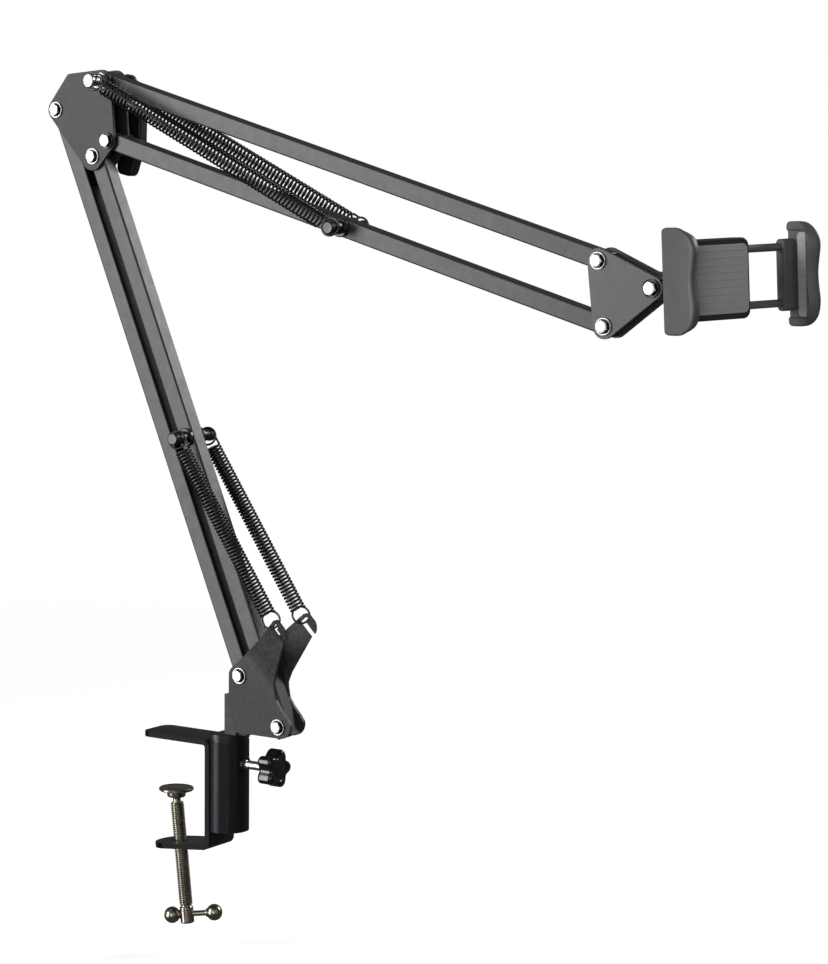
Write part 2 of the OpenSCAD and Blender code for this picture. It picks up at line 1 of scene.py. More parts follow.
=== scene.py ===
import bpy, bmesh, json, math
from mathutils import Vector, Matrix
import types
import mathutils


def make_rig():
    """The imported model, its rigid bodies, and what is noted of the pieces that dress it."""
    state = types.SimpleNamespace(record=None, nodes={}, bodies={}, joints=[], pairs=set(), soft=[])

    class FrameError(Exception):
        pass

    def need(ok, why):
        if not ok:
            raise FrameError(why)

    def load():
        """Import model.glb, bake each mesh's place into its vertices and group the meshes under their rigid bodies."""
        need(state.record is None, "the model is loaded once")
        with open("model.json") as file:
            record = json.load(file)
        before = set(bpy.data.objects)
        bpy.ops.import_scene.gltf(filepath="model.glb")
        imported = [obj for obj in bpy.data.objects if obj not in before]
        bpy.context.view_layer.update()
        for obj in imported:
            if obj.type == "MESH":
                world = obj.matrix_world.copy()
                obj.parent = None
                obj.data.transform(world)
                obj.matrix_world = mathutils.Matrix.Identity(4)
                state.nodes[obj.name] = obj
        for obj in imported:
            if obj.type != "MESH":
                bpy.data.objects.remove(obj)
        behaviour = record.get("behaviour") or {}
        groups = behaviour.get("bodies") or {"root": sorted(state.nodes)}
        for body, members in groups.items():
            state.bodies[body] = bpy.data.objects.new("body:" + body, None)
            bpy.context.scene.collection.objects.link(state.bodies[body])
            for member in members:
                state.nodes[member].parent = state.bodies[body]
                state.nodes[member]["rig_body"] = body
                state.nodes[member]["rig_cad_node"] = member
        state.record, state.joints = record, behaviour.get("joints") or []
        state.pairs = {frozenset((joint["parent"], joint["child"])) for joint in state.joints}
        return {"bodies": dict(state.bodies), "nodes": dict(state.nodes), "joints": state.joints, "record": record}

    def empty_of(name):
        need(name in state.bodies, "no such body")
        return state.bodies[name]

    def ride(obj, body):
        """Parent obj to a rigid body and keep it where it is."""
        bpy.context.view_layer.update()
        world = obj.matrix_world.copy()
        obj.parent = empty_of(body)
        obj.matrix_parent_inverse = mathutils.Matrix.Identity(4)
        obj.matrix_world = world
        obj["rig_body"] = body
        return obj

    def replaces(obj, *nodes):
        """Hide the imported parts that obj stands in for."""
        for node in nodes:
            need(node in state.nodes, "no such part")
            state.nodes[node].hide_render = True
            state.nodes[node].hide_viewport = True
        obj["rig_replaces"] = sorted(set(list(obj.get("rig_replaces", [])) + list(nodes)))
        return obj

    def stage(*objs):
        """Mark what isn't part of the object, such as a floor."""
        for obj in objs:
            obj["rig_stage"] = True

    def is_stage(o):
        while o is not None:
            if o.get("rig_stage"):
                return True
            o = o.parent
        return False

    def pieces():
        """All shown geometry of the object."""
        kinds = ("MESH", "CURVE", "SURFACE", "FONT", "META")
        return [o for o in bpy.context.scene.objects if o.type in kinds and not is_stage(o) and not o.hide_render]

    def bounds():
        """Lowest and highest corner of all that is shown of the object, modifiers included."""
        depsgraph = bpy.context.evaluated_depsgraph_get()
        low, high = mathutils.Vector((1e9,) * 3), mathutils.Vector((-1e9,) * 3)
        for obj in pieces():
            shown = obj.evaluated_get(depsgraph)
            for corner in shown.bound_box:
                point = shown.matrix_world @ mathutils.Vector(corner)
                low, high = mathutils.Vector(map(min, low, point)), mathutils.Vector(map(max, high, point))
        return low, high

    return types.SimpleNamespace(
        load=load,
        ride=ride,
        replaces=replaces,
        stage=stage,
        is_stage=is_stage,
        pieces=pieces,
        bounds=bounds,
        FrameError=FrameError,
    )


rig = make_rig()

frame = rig.load()
cad_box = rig.bounds()
NODES = frame["nodes"]

# ---------------------------------------------------------------- geometry
SX = 35.2                       # the swivel axis stands this far from the origin, mm
rad = math.radians


def c_(a): return math.cos(rad(a))
def s_(a): return math.sin(rad(a))


def W(x, y, z):
    """row point in metres from millimetres about the swivel axis"""
    return Vector(((x + SX) / 1000, y / 1000, z / 1000))


def vadd(a, b): return (a[0] + b[0], a[1] + b[1])
def along(p, d, t): return (p[0] + d[0] * t, p[1] + d[1] * t)


P1 = (8.56, 41.43); V1 = (26.68, -26.28); P2 = vadd(P1, V1)
DL = (c_(112.65), s_(112.65))
P3 = along(P1, DL, 341.3); P4 = vadd(P3, V1)
P5 = vadd(P3, (37.05, -17.4)); V2 = (-3.9, 33.4); P6 = vadd(P5, V2)
DU = (c_(-15.95), s_(-15.95))
T2 = along(P5, DU, 336.9); T1 = vadd(T2, V2); T3 = vadd(T2, (27.1, 20.3))
PB = along(P2, DL, 171.2); PD = along(P5, DU, 166.3)
HK = (35.1, 76.5)
BALL = (T3[0] + 26 * c_(13), 0.0, T3[1] + 26 * s_(13))
YO = 7.3                        # outer face of the joint plates
WASH = 0.9
SPRING_Y = 14.0

ID = Matrix.Identity(4)


def frame_at(origin, x, y, z):
    m = Matrix.Identity(4)
    for i, a in enumerate((x, y, z)):
        for j in range(3):
            m[j][i] = a[j]
    for j in range(3):
        m[j][3] = origin[j]
    return m


def ypivot(p):
    """local z along world +Y, local x along world +X, centred on a pivot of the X-Z plane"""
    return frame_at((p[0], 0, p[1]), (1, 0, 0), (0, 0, -1), (0, 1, 0))


def yback(p):
    """local z along world -Y (towards the bolt-head side)"""
    return frame_at((p[0], 0, p[1]), (1, 0, 0), (0, 0, 1), (0, -1, 0))


M_CLIP = (Matrix.Translation(Vector(BALL)) @ Matrix.Rotation(rad(-25.8), 4, "Z")
          @ Matrix.Rotation(rad(-1.9), 4, "Y") @ Matrix.Rotation(rad(2.2), 4, "X"))
M_ADAPT = Matrix.Translation(Vector((T3[0], 0, T3[1]))) @ Matrix.Rotation(rad(-13), 4, "Y")
SLOPE = 6.3
SA = (-38.6, 0.0, -60.8)
M_SCREW = Matrix.Translation(Vector(SA)) @ Matrix.Rotation(rad(-SLOPE), 4, "Y")
TIP_S = (-30 - SA[2] - 4.2) / c_(SLOPE)
M_BAR = (M_SCREW @ Matrix.Translation(Vector((0, 0, -43))) @ Matrix.Rotation(rad(27), 4, "Z")
         @ Matrix.Rotation(rad(90), 4, "Y"))


# ---------------------------------------------------------------- materials
def lin(h):
    v = [int(h[i:i + 2], 16) / 255 for i in (0, 2, 4)]
    return tuple(x / 12.92 if x <= .04045 else ((x + .055) / 1.055) ** 2.4 for x in v)


def material(name, col, rough=.45, metal=0.0, spec=.5, coat=0.0, coat_rough=.2,
             var=.06, var_scale=60, rvar=.08, rscale=180, bump=.03, bscale=2600, bdist=.00012,
             edge_highlight=None, edge_highlight_amt=.5, streak=None, sheen=0.0):
    """Procedural surface: slow colour variation, finer roughness variation, fine bump and
    lighter edges, a painted highlight. streak stretches the variation along one axis for drawn metal."""
    m = bpy.data.materials.new(name)
    m.use_nodes = True
    nt = m.node_tree
    N, L = nt.nodes, nt.links
    b = N["Principled BSDF"]
    b.inputs["Metallic"].default_value = metal
    b.inputs["Specular IOR Level"].default_value = spec
    b.inputs["Coat Weight"].default_value = coat
    b.inputs["Coat Roughness"].default_value = coat_rough
    if sheen:
        b.inputs["Sheen Weight"].default_value = sheen
    tc = N.new("ShaderNodeTexCoord")
    mp = N.new("ShaderNodeMapping")
    L.new(tc.outputs["Object"], mp.inputs["Vector"])
    if streak:
        mp.inputs["Scale"].default_value = streak
    n1 = N.new("ShaderNodeTexNoise"); n1.inputs["Scale"].default_value = var_scale
    n1.inputs["Detail"].default_value = 4; n1.inputs["Roughness"].default_value = .6
    L.new(mp.outputs["Vector"], n1.inputs["Vector"])
    ramp = N.new("ShaderNodeValToRGB")
    lo = tuple(max(0, x * (1 - var)) for x in col); hi = tuple(min(1, x * (1 + var)) for x in col)
    ramp.color_ramp.elements[0].position = .35; ramp.color_ramp.elements[0].color = (*lo, 1)
    ramp.color_ramp.elements[1].position = .65; ramp.color_ramp.elements[1].color = (*hi, 1)
    L.new(n1.outputs["Fac"], ramp.inputs["Fac"])
    src = ramp.outputs["Color"]
    # lighter colour on sharp edges, found by pointiness: a painted highlight
    if edge_highlight:
        geo = N.new("ShaderNodeNewGeometry")
        edge_highlight_ramp = N.new("ShaderNodeValToRGB")
        edge_highlight_ramp.color_ramp.elements[0].position = .52; edge_highlight_ramp.color_ramp.elements[0].color = (0, 0, 0, 1)
        edge_highlight_ramp.color_ramp.elements[1].position = .62; edge_highlight_ramp.color_ramp.elements[1].color = (edge_highlight_amt, edge_highlight_amt, edge_highlight_amt, 1)
        L.new(geo.outputs["Pointiness"], edge_highlight_ramp.inputs["Fac"])
        n3 = N.new("ShaderNodeTexNoise"); n3.inputs["Scale"].default_value = 420
        n3.inputs["Detail"].default_value = 2
        L.new(tc.outputs["Object"], n3.inputs["Vector"])
        mul = N.new("ShaderNodeMath"); mul.operation = "MULTIPLY"
        L.new(edge_highlight_ramp.outputs["Color"], mul.inputs[0]); L.new(n3.outputs["Fac"], mul.inputs[1])
        mix = N.new("ShaderNodeMix"); mix.data_type = "RGBA"
        mix.inputs["B"].default_value = (*edge_highlight, 1)
        L.new(mul.outputs[0], mix.inputs["Factor"]); L.new(src, mix.inputs["A"])
        src = mix.outputs["Result"]
    L.new(src, b.inputs["Base Color"])
    n2 = N.new("ShaderNodeTexNoise"); n2.inputs["Scale"].default_value = rscale
    n2.inputs["Detail"].default_value = 3
    L.new(mp.outputs["Vector"], n2.inputs["Vector"])
    mr = N.new("ShaderNodeMapRange")
    mr.inputs["From Min"].default_value = .3; mr.inputs["From Max"].default_value = .7
    mr.inputs["To Min"].default_value = max(.02, rough - rvar); mr.inputs["To Max"].default_value = rough + rvar
    L.new(n2.outputs["Fac"], mr.inputs["Value"])
    L.new(mr.outputs["Result"], b.inputs["Roughness"])
    if bump:
        n4 = N.new("ShaderNodeTexNoise"); n4.inputs["Scale"].default_value = bscale
        n4.inputs["Detail"].default_value = 2
        L.new(mp.outputs["Vector"], n4.inputs["Vector"])
        bp = N.new("ShaderNodeBump"); bp.inputs["Strength"].default_value = bump
        bp.inputs["Distance"].default_value = bdist
        L.new(n4.outputs["Fac"], bp.inputs["Height"])
        L.new(bp.outputs["Normal"], b.inputs["Normal"])
    return m


MAT = {
    "tube": material("tube_coat", (.026, .026, .0265), rough=.42, spec=.48, var=.03, var_scale=30, rvar=.02,
                     bump=.25, bscale=2200, bdist=.00005, edge_highlight=(.2, .2, .2), edge_highlight_amt=.35),
    # darker copy of the tube coat for the side between the lower tubes: painted shade
    "tube_painted_shade": material("tube_coat_painted_shade", (.006, .006, .0062), rough=.5, spec=.06, var=.03, var_scale=30, rvar=.02,
                        bump=.25, bscale=2200, bdist=.00005),
    "plate": material("plate_coat", (.02, .02, .0206), rough=.46, spec=.3, var=.03, var_scale=70, rvar=.015,
                      bump=.3, bscale=1900, bdist=.00006, edge_highlight=(.2, .2, .2), edge_highlight_amt=.4),
    # lighter copy of the plate coat for the tip's cheeks: painted light standing in for the lamps' falloff there
    "plate_tip_painted_light": material("tip_plate_coat_painted_light", (.06, .06, .061), rough=.44, spec=.48, var=.03, var_scale=70, rvar=.015,
                          bump=.3, bscale=1900, bdist=.00006, edge_highlight=(.22, .22, .22), edge_highlight_amt=.4),
    "bracket": material("bracket_coat", (.0135, .0136, .0168), rough=.4, spec=.17, var=.03, var_scale=60, rvar=.006,
                        bump=.3, bscale=1900, bdist=.00006, edge_highlight=(.16, .16, .17), edge_highlight_amt=.5),
    "clamp": material("clamp_coat", (.0085, .0088, .0122), rough=.34, spec=.17, var=.05, var_scale=50, rvar=.03,
                      bump=.35, bscale=1500, bdist=.00008, edge_highlight=(.09, .09, .09), edge_highlight_amt=.45),
    # darker, duller copy of the clamp coat for the strip's faces that look along Y: painted shade
    "clamp_painted_shade": material("clamp_coat_painted_shade", (.003, .003, .0035), rough=.3, spec=.04, var=.05, var_scale=50, rvar=.02,
                          bump=.2, bscale=1500, bdist=.00006),
    "bush": material("bush_plastic", (.009, .009, .0095), rough=.36, spec=.35, var=.1, bump=.2, bscale=1600, bdist=.0001),
    "zinc": material("bright_zinc", (.4, .4, .41), rough=.38, metal=1, var=.04, var_scale=90, rvar=.04,
                     rscale=400, bump=.12, bscale=900, bdist=.00006, edge_highlight=(.95, .95, .95), edge_highlight_amt=.3),
    "zinc_shade": material("zinc_shadow", (.09, .09, .092), rough=.5, metal=1, var=.05, bump=.1, bscale=900, bdist=.00006),
    "nickel": material("nickel_steel", (.3, .273, .222), rough=.3, metal=1, var=.1, var_scale=120, rvar=.04,
                       rscale=300, bump=.08, bscale=1200, bdist=.00006),
    "knob": material("knob_plastic", (.006, .006, .007), rough=.22, spec=.5, var=.1, var_scale=80, rvar=.07,
                     bump=.12, bscale=900, bdist=.0001),
    "wing": material("wing_plastic", (.008, .008, .0085), rough=.42, spec=.35, var=.1, var_scale=80, rvar=.06,
                     bump=.25, bscale=1200, bdist=.0001),
    "spring": material("spring_wire", (.075, .075, .078), rough=.38, metal=1.0, spec=.5, var=.15, var_scale=200,
                       bump=.1, bscale=1500, bdist=.00005),
    "pin": material("pin_black", (.009, .009, .0095), rough=.3, metal=.2, var=.12, bump=.15, bscale=1200, bdist=.00006,
                    edge_highlight=(.2, .2, .2), edge_highlight_amt=.4),
    "roller": material("roller_nylon", (.012, .012, .012), rough=.5, var=.1, bump=.15, bscale=1200, bdist=.00008),
    "steel": material("spring_steel", (.5, .5, .5), rough=.25, metal=1, var=.08, bump=.1),
    "joint": material("joint_plastic", (.011, .011, .0115), rough=.42, spec=.5, var=.1, var_scale=80, rvar=.06,
                      bump=.35, bscale=1500, bdist=.0001),
    "ball": material("ball_plastic", (.018, .018, .019), rough=.3, spec=.5, var=.1, bump=.15, bscale=1500, bdist=.00006),
    "jaw": material("jaw_plastic", (.1, .1, .101), rough=.5, spec=.45, var=.05, var_scale=40, rvar=.05,
                    bump=.4, bscale=1700, bdist=.00009, edge_highlight=(.16, .16, .165), edge_highlight_amt=.3),
    "body": material("body_plastic", (.03, .03, .031), rough=.5, spec=.45, var=.06, var_scale=40, rvar=.05,
                     bump=.4, bscale=1500, bdist=.0001),
    "pad": material("pad_rubber", (.42, .42, .43), rough=.72, spec=.3, var=.05, var_scale=50, rvar=.05,
                    bump=.4, bscale=1100, bdist=.00012),
}


# ---------------------------------------------------------------- mesh code
def finish_mesh(name, bm, mat, body, replaces=(), sharp=35, smooth=True, doubles=2e-6, wn=True):
    if doubles:
        bmesh.ops.remove_doubles(bm, verts=bm.verts, dist=doubles)
    bmesh.ops.recalc_face_normals(bm, faces=bm.faces)
    me = bpy.data.meshes.new(name)
    bm.to_mesh(me); bm.free()
    if smooth:
        me.shade_smooth()
        me.set_sharp_from_angle(angle=rad(sharp))
    ob = bpy.data.objects.new(name, me)
    bpy.context.scene.collection.objects.link(ob)
    me.materials.append(MAT[mat])
    if wn:
        w = ob.modifiers.new("normals", "WEIGHTED_NORMAL")
        w.keep_sharp = True
        w.weight = 80
    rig.ride(ob, body)
    if replaces:
        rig.replaces(ob, *((replaces,) if isinstance(replaces, str) else replaces))
    return ob


def second(ob, mat, test):
    """gives the faces that pass the test a second material"""
    ob.data.materials.append(MAT[mat])
    for f in ob.data.polygons:
        if test(f):
            f.material_index = 1


def put(m, p):
    q = m @ Vector(p)
    return W(q.x, q.y, q.z)


def add_rings(bm, rings, close_ring=True, cap0=True, cap1=True):
    """skins a list of rings (equal-length lists of vertices)"""
    for a, b in zip(rings, rings[1:]):
        n = len(a)
        for i in range(n if close_ring else n - 1):
            j = (i + 1) % n
            f = [a[i], a[j], b[j], b[i]]
            if len({v.index if v.index >= 0 else id(v) for v in f}) == 4 or True:
                try:
                    bm.faces.new(f)
                except ValueError:
                    pass
    for ring, flip, do in ((rings[0], True, cap0), (rings[-1], False, cap1)):
        if do and len(ring) > 2:
            r = list(reversed(ring)) if flip else ring
            try:
                bm.faces.new(r)
            except ValueError:
                pass


def lathe_into(bm, m, prof, seg=48):
    """prof: [(radius, height)] turned about local z; a closed ring profile if it starts and ends alike"""
    closed = prof[0] == prof[-1]
    pts = prof[:-1] if closed else prof
    rings = []
    for r, z in pts:
        if r <= 1e-6:
            v = bm.verts.new(put(m, (0, 0, z)))
            rings.append([v])
        else:
            rings.append([bm.verts.new(put(m, (r * math.cos(2 * math.pi * i / seg), r * math.sin(2 * math.pi * i / seg), z)))
                          for i in range(seg)])
    seq = list(zip(rings, rings[1:])) + ([(rings[-1], rings[0])] if closed else [])
    for a, b in seq:
        for i in range(seg):
            j = (i + 1) % seg
            if len(a) == 1 and len(b) == 1:
                continue
            if len(a) == 1:
                bm.faces.new([a[0], b[j], b[i]])
            elif len(b) == 1:
                bm.faces.new([a[i], a[j], b[0]])
            else:
                bm.faces.new([a[i], a[j], b[j], b[i]])
    if not closed:
        for ring in (rings[0], rings[-1]):
            if len(ring) > 2:
                bm.faces.new(ring)


def rounded(prof, r, n=3):
    """rounds the corners of an open (radius, height) profile, leaving its ends"""
    out = [prof[0]]
    for k in range(1, len(prof) - 1):
        p0, p, p1 = Vector(prof[k - 1]), Vector(prof[k]), Vector(prof[k + 1])
        d0, d1 = (p0 - p), (p1 - p)
        t = min(r, d0.length * .45, d1.length * .45)
        a, b = p + d0.normalized() * t, p + d1.normalized() * t
        for i in range(n + 1):
            u = i / n
            q = a * (1 - u) ** 2 + p * 2 * u * (1 - u) + b * u ** 2
            out.append((q.x, q.y))
    out.append(prof[-1])
    return out


def lathe(name, m, prof, mat, body, replaces=(), seg=48, r=0.0, sharp=40):
    bm = bmesh.new()
    lathe_into(bm, m, rounded(prof, r) if r else prof, seg)
    return finish_mesh(name, bm, mat, body, replaces, sharp)


def hex_head_into(bm, m, af, z0, h, rot=12, top_r=None, dome=0.0, bore=None):
    """a hexagon with its corners chamfered at the free end, local z outwards"""
    n = 72
    a = af / 2
    r1 = top_r or a * .97
    rows = [[], [], [], []]
    for i in range(n):
        th = 2 * math.pi * i / n
        t = ((math.degrees(th) + 30) % 60) - 30
        rho = a / math.cos(rad(t)) * .992
        zc = h - max(0, rho - r1) * .45
        phi = th + rad(rot)
        for k, (r, z) in enumerate(((rho - .25, 0), (rho, .25), (rho, zc), (r1, h))):
            rows[k].append(bm.verts.new(put(m, (r * math.cos(phi), r * math.sin(phi), z0 + z))))
    add_rings(bm, rows, cap0=True, cap1=False)
    if dome:
        prev = rows[-1]
        for f in (.75, .45, .2):
            ring = [bm.verts.new(put(m, (r1 * f * math.cos(2 * math.pi * i / n + rad(rot)),
                                         r1 * f * math.sin(2 * math.pi * i / n + rad(rot)),
                                         z0 + h + dome * (1 - f * f)))) for i in range(n)]
            add_rings(bm, [prev, ring], cap0=False, cap1=False)
            prev = ring
        bm.faces.new(prev)
    else:
        # flat, very slightly crowned face
        prev = rows[-1]
        for f, dz in ((.8, .03), (.4, .05)):
            ring = [bm.verts.new(put(m, (r1 * f * math.cos(2 * math.pi * i / n + rad(rot)),
                                         r1 * f * math.sin(2 * math.pi * i / n + rad(rot)), z0 + h + dz)))
                    for i in range(n)]
            add_rings(bm, [prev, ring], cap0=False, cap1=False)
            prev = ring
        bm.faces.new(prev)


def thread_into(bm, m, r_out, depth, pitch, z0, z1, seg=32, point0=True, point1=True):
    """a true single-start thread between z0 and z1 on the local z axis"""
    prof = [(0.0, r_out - depth), (.22, r_out - depth), (.44, r_out), (.62, r_out)]
    turns = int(math.ceil((z1 - z0) / pitch)) + 1
    rows = []
    for k in range(-1, turns):
        for f, r in prof:
            row = []
            for i in range(seg):
                z = z0 + (k + f + i / seg) * pitch
                rr = r
                if point0:
                    rr = min(rr, r_out - depth - .1 + max(0, z - z0) * 1.0)
                if point1:
                    rr = min(rr, r_out - depth - .1 + max(0, z1 - z) * 1.0)
                zc = min(max(z, z0), z1)
                a = 2 * math.pi * i / seg
                row.append(bm.verts.new(put(m, (rr * math.cos(a), rr * math.sin(a), zc))))
            rows.append(row)
    # the helix: the last vertex of each row joins the first of the row one turn on
    n = len(prof)
    for a in range(len(rows) - 1):
        for i in range(seg):
            if i < seg - 1:
                q = [rows[a][i], rows[a][i + 1], rows[a + 1][i + 1], rows[a + 1][i]]
            else:
                if a + 1 + n >= len(rows):
                    continue
                q = [rows[a][i], rows[a + n][0], rows[a + 1 + n][0], rows[a + 1][i]]
            try:
                bm.faces.new(q)
            except ValueError:
                pass
    r = r_out - depth - .1
    for z in (z0, z1):
        ring = [bm.verts.new(put(m, (r * math.cos(2 * math.pi * i / seg), r * math.sin(2 * math.pi * i / seg), z)))
                for i in range(seg)]
        bm.faces.new(ring)


def sweep_into(bm, pts, r, sides=10, closed=False, cap=True, mid=None):
    """round wire along points (mm, about the swivel axis)"""
    P = [Vector(p) for p in pts]
    n = len(P)
    T = []
    for i in range(n):
        a = P[(i - 1) % n] if closed or i else P[0]
        b = P[(i + 1) % n] if closed or i < n - 1 else P[-1]
        T.append((b - a).normalized())
    ref = Vector((0, 1, 0)) if abs(T[0].y) < .9 else Vector((1, 0, 0))
    u = (ref - T[0] * ref.dot(T[0])).normalized()
    rings = []
    for i in range(n):
        if i:
            u = (u - T[i] * u.dot(T[i])).normalized()
        v = T[i].cross(u)
        rings.append([bm.verts.new(W(*(P[i] + (u * math.cos(2 * math.pi * k / sides) + v * math.sin(2 * math.pi * k / sides)) * r)))
                      for k in range(sides)])
    add_rings(bm, rings, cap0=cap and not closed, cap1=cap and not closed)
    if closed:
        # match the seam to the nearest turn of the ring
        a, b = rings[-1], rings[0]
        best = min(range(sides), key=lambda s: sum((a[k].co - b[(k + s) % sides].co).length for k in range(sides)))
        for k in range(sides):
            j = (k + 1) % sides
            bm.faces.new([a[k], a[j], b[(j + best) % sides], b[(k + best) % sides]])


def chaikin(pts, times=2):
    P = [Vector(p) for p in pts]
    for _ in range(times):
        out = [P[0]]
        for a, b in zip(P, P[1:]):
            out.append(a * .75 + b * .25)
            out.append(a * .25 + b * .75)
        out.append(P[-1])
        P = out
    return P


def arc(c, r, a0, a1, n):
    return [(c[0] + r * c_(a0 + (a1 - a0) * i / n), c[1] + r * s_(a0 + (a1 - a0) * i / n)) for i in range(n + 1)]


def blob(cs, step=7):
    """outline round circles (x, y, r) given anticlockwise"""
    out = []
    n = len(cs)
    seg = []
    for i in range(n):
        a, b = cs[i], cs[(i + 1) % n]
        dx, dy = b[0] - a[0], b[1] - a[1]
        L = math.hypot(dx, dy)
        seg.append(math.degrees(math.atan2(dy, dx)) - math.degrees(math.acos((a[2] - b[2]) / L)))
    for i in range(n):
        a0 = seg[i - 1]; a1 = seg[i]
        while a1 < a0: a1 += 360
        while a1 - a0 > 360: a1 -= 360
        k = max(1, int(round((a1 - a0) / step)))
        out += arc(cs[i][:2], cs[i][2], a0, a1, k)
    return out


def inset(poly, d):
    """moves each point of an anticlockwise outline inwards by d"""
    out = []
    n = len(poly)
    for i in range(n):
        p0, p, p1 = Vector(poly[i - 1]), Vector(poly[i]), Vector(poly[(i + 1) % n])
        e0 = (p - p0); e1 = (p1 - p)
        if e0.length < 1e-9: e0 = e1
        if e1.length < 1e-9: e1 = e0
        e0.normalize(); e1.normalize()
        n0 = Vector((-e0.y, e0.x)); n1 = Vector((-e1.y, e1.x))
        b = (n0 + n1)
        if b.length < 1e-6: b = n0
        b.normalize()
        k = max(.35, b.dot(n0))
        out.append(tuple(p + b * (d / k)))
    return out


def dedupe(poly, eps=1e-4):
    out = []
    for p in poly:
        if not out or (Vector(p) - Vector(out[-1])).length > eps:
            out.append(p)
    if (Vector(out[0]) - Vector(out[-1])).length < eps:
        out.pop()
    return out


def slab_into(bm, m, poly, z0, z1, rnd=.3, n=3, rnd0=None, rnd1=None):
    """outline extruded along local z with rounded rims"""
    poly = dedupe(poly)
    r0 = rnd if rnd0 is None else rnd0
    r1 = rnd if rnd1 is None else rnd1
    rows = []
    if r0:
        for i in range(n):
            t = math.pi / 2 * i / n
            rows.append((r0 * (1 - math.sin(t)), z0 + r0 * (1 - math.cos(t))))
        rows = [(r0 * (1 - math.sin(math.pi / 2 * i / n)), z0 + r0 * (1 - math.cos(math.pi / 2 * i / n))) for i in range(n + 1)]
    else:
        rows = [(0, z0)]
    if r1:
        rows += [(r1 * (1 - math.cos(math.pi / 2 * i / n)), z1 - r1 * (1 - math.sin(math.pi / 2 * i / n))) for i in range(n + 1)]
    else:
        rows += [(0, z1)]
    rings = []
    for d, z in rows:
        pp = inset(poly, d) if d > 1e-6 else poly
        rings.append([bm.verts.new(put(m, (x, y, z))) for x, y in pp])
    add_rings(bm, rings)


def from_cad(name, node, mat, body, bevel=.25, seg=2, angle=38, sharp=40, ribs=None):
    """a finished copy of a CAD solid: welded, flat faces merged, rims rounded"""
    src = NODES[node]
    bm = bmesh.new()
    bm.from_mesh(src.data)
    bmesh.ops.remove_doubles(bm, verts=bm.verts, dist=4e-6)
    bmesh.ops.recalc_face_normals(bm, faces=bm.faces)
    bmesh.ops.dissolve_limit(bm, angle_limit=rad(.6), verts=bm.verts, edges=bm.edges)
    if bevel:
        es = [e for e in bm.edges if len(e.link_faces) == 2 and e.calc_face_angle(0) > rad(angle)]
        bmesh.ops.bevel(bm, geom=es, offset=bevel / 1000, offset_type="OFFSET", segments=seg, profile=.6,
                        affect="EDGES", clamp_overlap=True)
    return finish_mesh(name, bm, mat, body, node, sharp, doubles=1e-7)


# ---------------------------------------------------------------- clamp
# the strip's faces that look along Y take a darker copy of the coat: painted shade
second(from_cad("clamp_bracket_strip", "clamp_bracket", "clamp", "clamp", bevel=.7, seg=3), "clamp_painted_shade", lambda f: abs(f.normal.y) > .9)
from_cad("socket_shell_wrap", "socket_shell", "clamp", "clamp", bevel=.35, seg=2)
from_cad("socket_bush_insert", "socket_bush", "bush", "clamp", bevel=.3, seg=2)
from_cad("swivel_pin_rod", "swivel_pin", "nickel", "base", bevel=.4, seg=2)

# clamp screw with a real thread, its ball end and the cross-drilled head block
bm = bmesh.new()
thread_into(bm, M_SCREW, 3.93, .62, 1.25, -37.6, TIP_S - 4.4)
lathe_into(bm, M_SCREW, rounded([(0, TIP_S + 3.2), (1.2, TIP_S + 2.95), (2.3, TIP_S + 2.2), (3.0, TIP_S + 1.05), (3.2, TIP_S),
                                 (3.0, TIP_S - 1.05), (2.2, TIP_S - 2.3), (2.2, TIP_S - 4.8), (0, TIP_S - 4.8)], .2), 40)
lathe_into(bm, M_SCREW, rounded([(0, -37.4), (3.0, -37.4), (3.25, -38.2), (3.93, -39.0), (3.93, -47.6), (3.3, -48.2), (0, -48.2)], .25), 48)
finish_mesh("clamp_screw_threaded", bm, "nickel", "screw", "clamp_screw", 30)

cpad = (SA[0] - s_(SLOPE) * TIP_S, 0, 0)
M_PAD = Matrix.Translation(Vector((cpad[0], 0, 0)))
bm = bmesh.new()
prof = [(0, -30), (5.2, -30), (5.5, -30.25), (8.6, -30.25), (8.9, -30), (9.6, -30), (10, -30.35), (10, -31.2), (9.3, -31.8), (6.0, -31.95),
        (5.4, -32.6), (5.3, -34.9), (4.9, -35.4), (3.1, -35.4), (3.1, -34.6), (3.28, -33.6), (2.6, -32.2), (0, -31.2)]
lathe_into(bm, M_PAD, prof, 64)
finish_mesh("screw_pad_disc", bm, "nickel", "pad", "screw_pad", 40)

bm = bmesh.new()
lathe_into(bm, M_BAR, rounded([(0, -9.3), (1.6, -9.3), (1.6, 16.3), (0, 16.3)], .2), 32)
finish_mesh("tommy_bar_rod", bm, "nickel", "bar", "tommy_bar", 40)
bm = bmesh.new()
for zc, sg in ((-8.6, -1), (16.1, 1)):
    prof = []
    for i in range(0, 19):
        t = math.pi * i / 18
        prof.append((4.8 * math.sin(t), zc + sg * 4.8 * math.cos(t) * .97))
    prof[0] = (0, prof[0][1])
    # collar where the ball is pressed on the bar
    prof = prof[:16] + [(2.45, zc - sg * 4.5), (2.3, zc - sg * 4.75), (1.62, zc - sg * 4.8), (0, zc - sg * 4.8)]
    lathe_into(bm, M_BAR, prof, 40)
finish_mesh("tommy_bar_ball_ends", bm, "nickel", "bar", "tommy_bar_balls", 50)

# lock stud and its five-lobed knob
M_X = Matrix.Translation(Vector((0, 0, -10.5))) @ Matrix.Rotation(rad(90), 4, "Y")
bm = bmesh.new()
thread_into(bm, M_X, 2.5, .38, .8, 4.8, 9.5, seg=28)
lathe_into(bm, M_X, rounded([(0, 9.0), (2.05, 9.0), (2.5, 9.6), (2.5, 26.8), (0, 26.8)], .1), 40)
finish_mesh("lock_stud_threaded", bm, "zinc", "lock_knob", "lock_stud", 30)


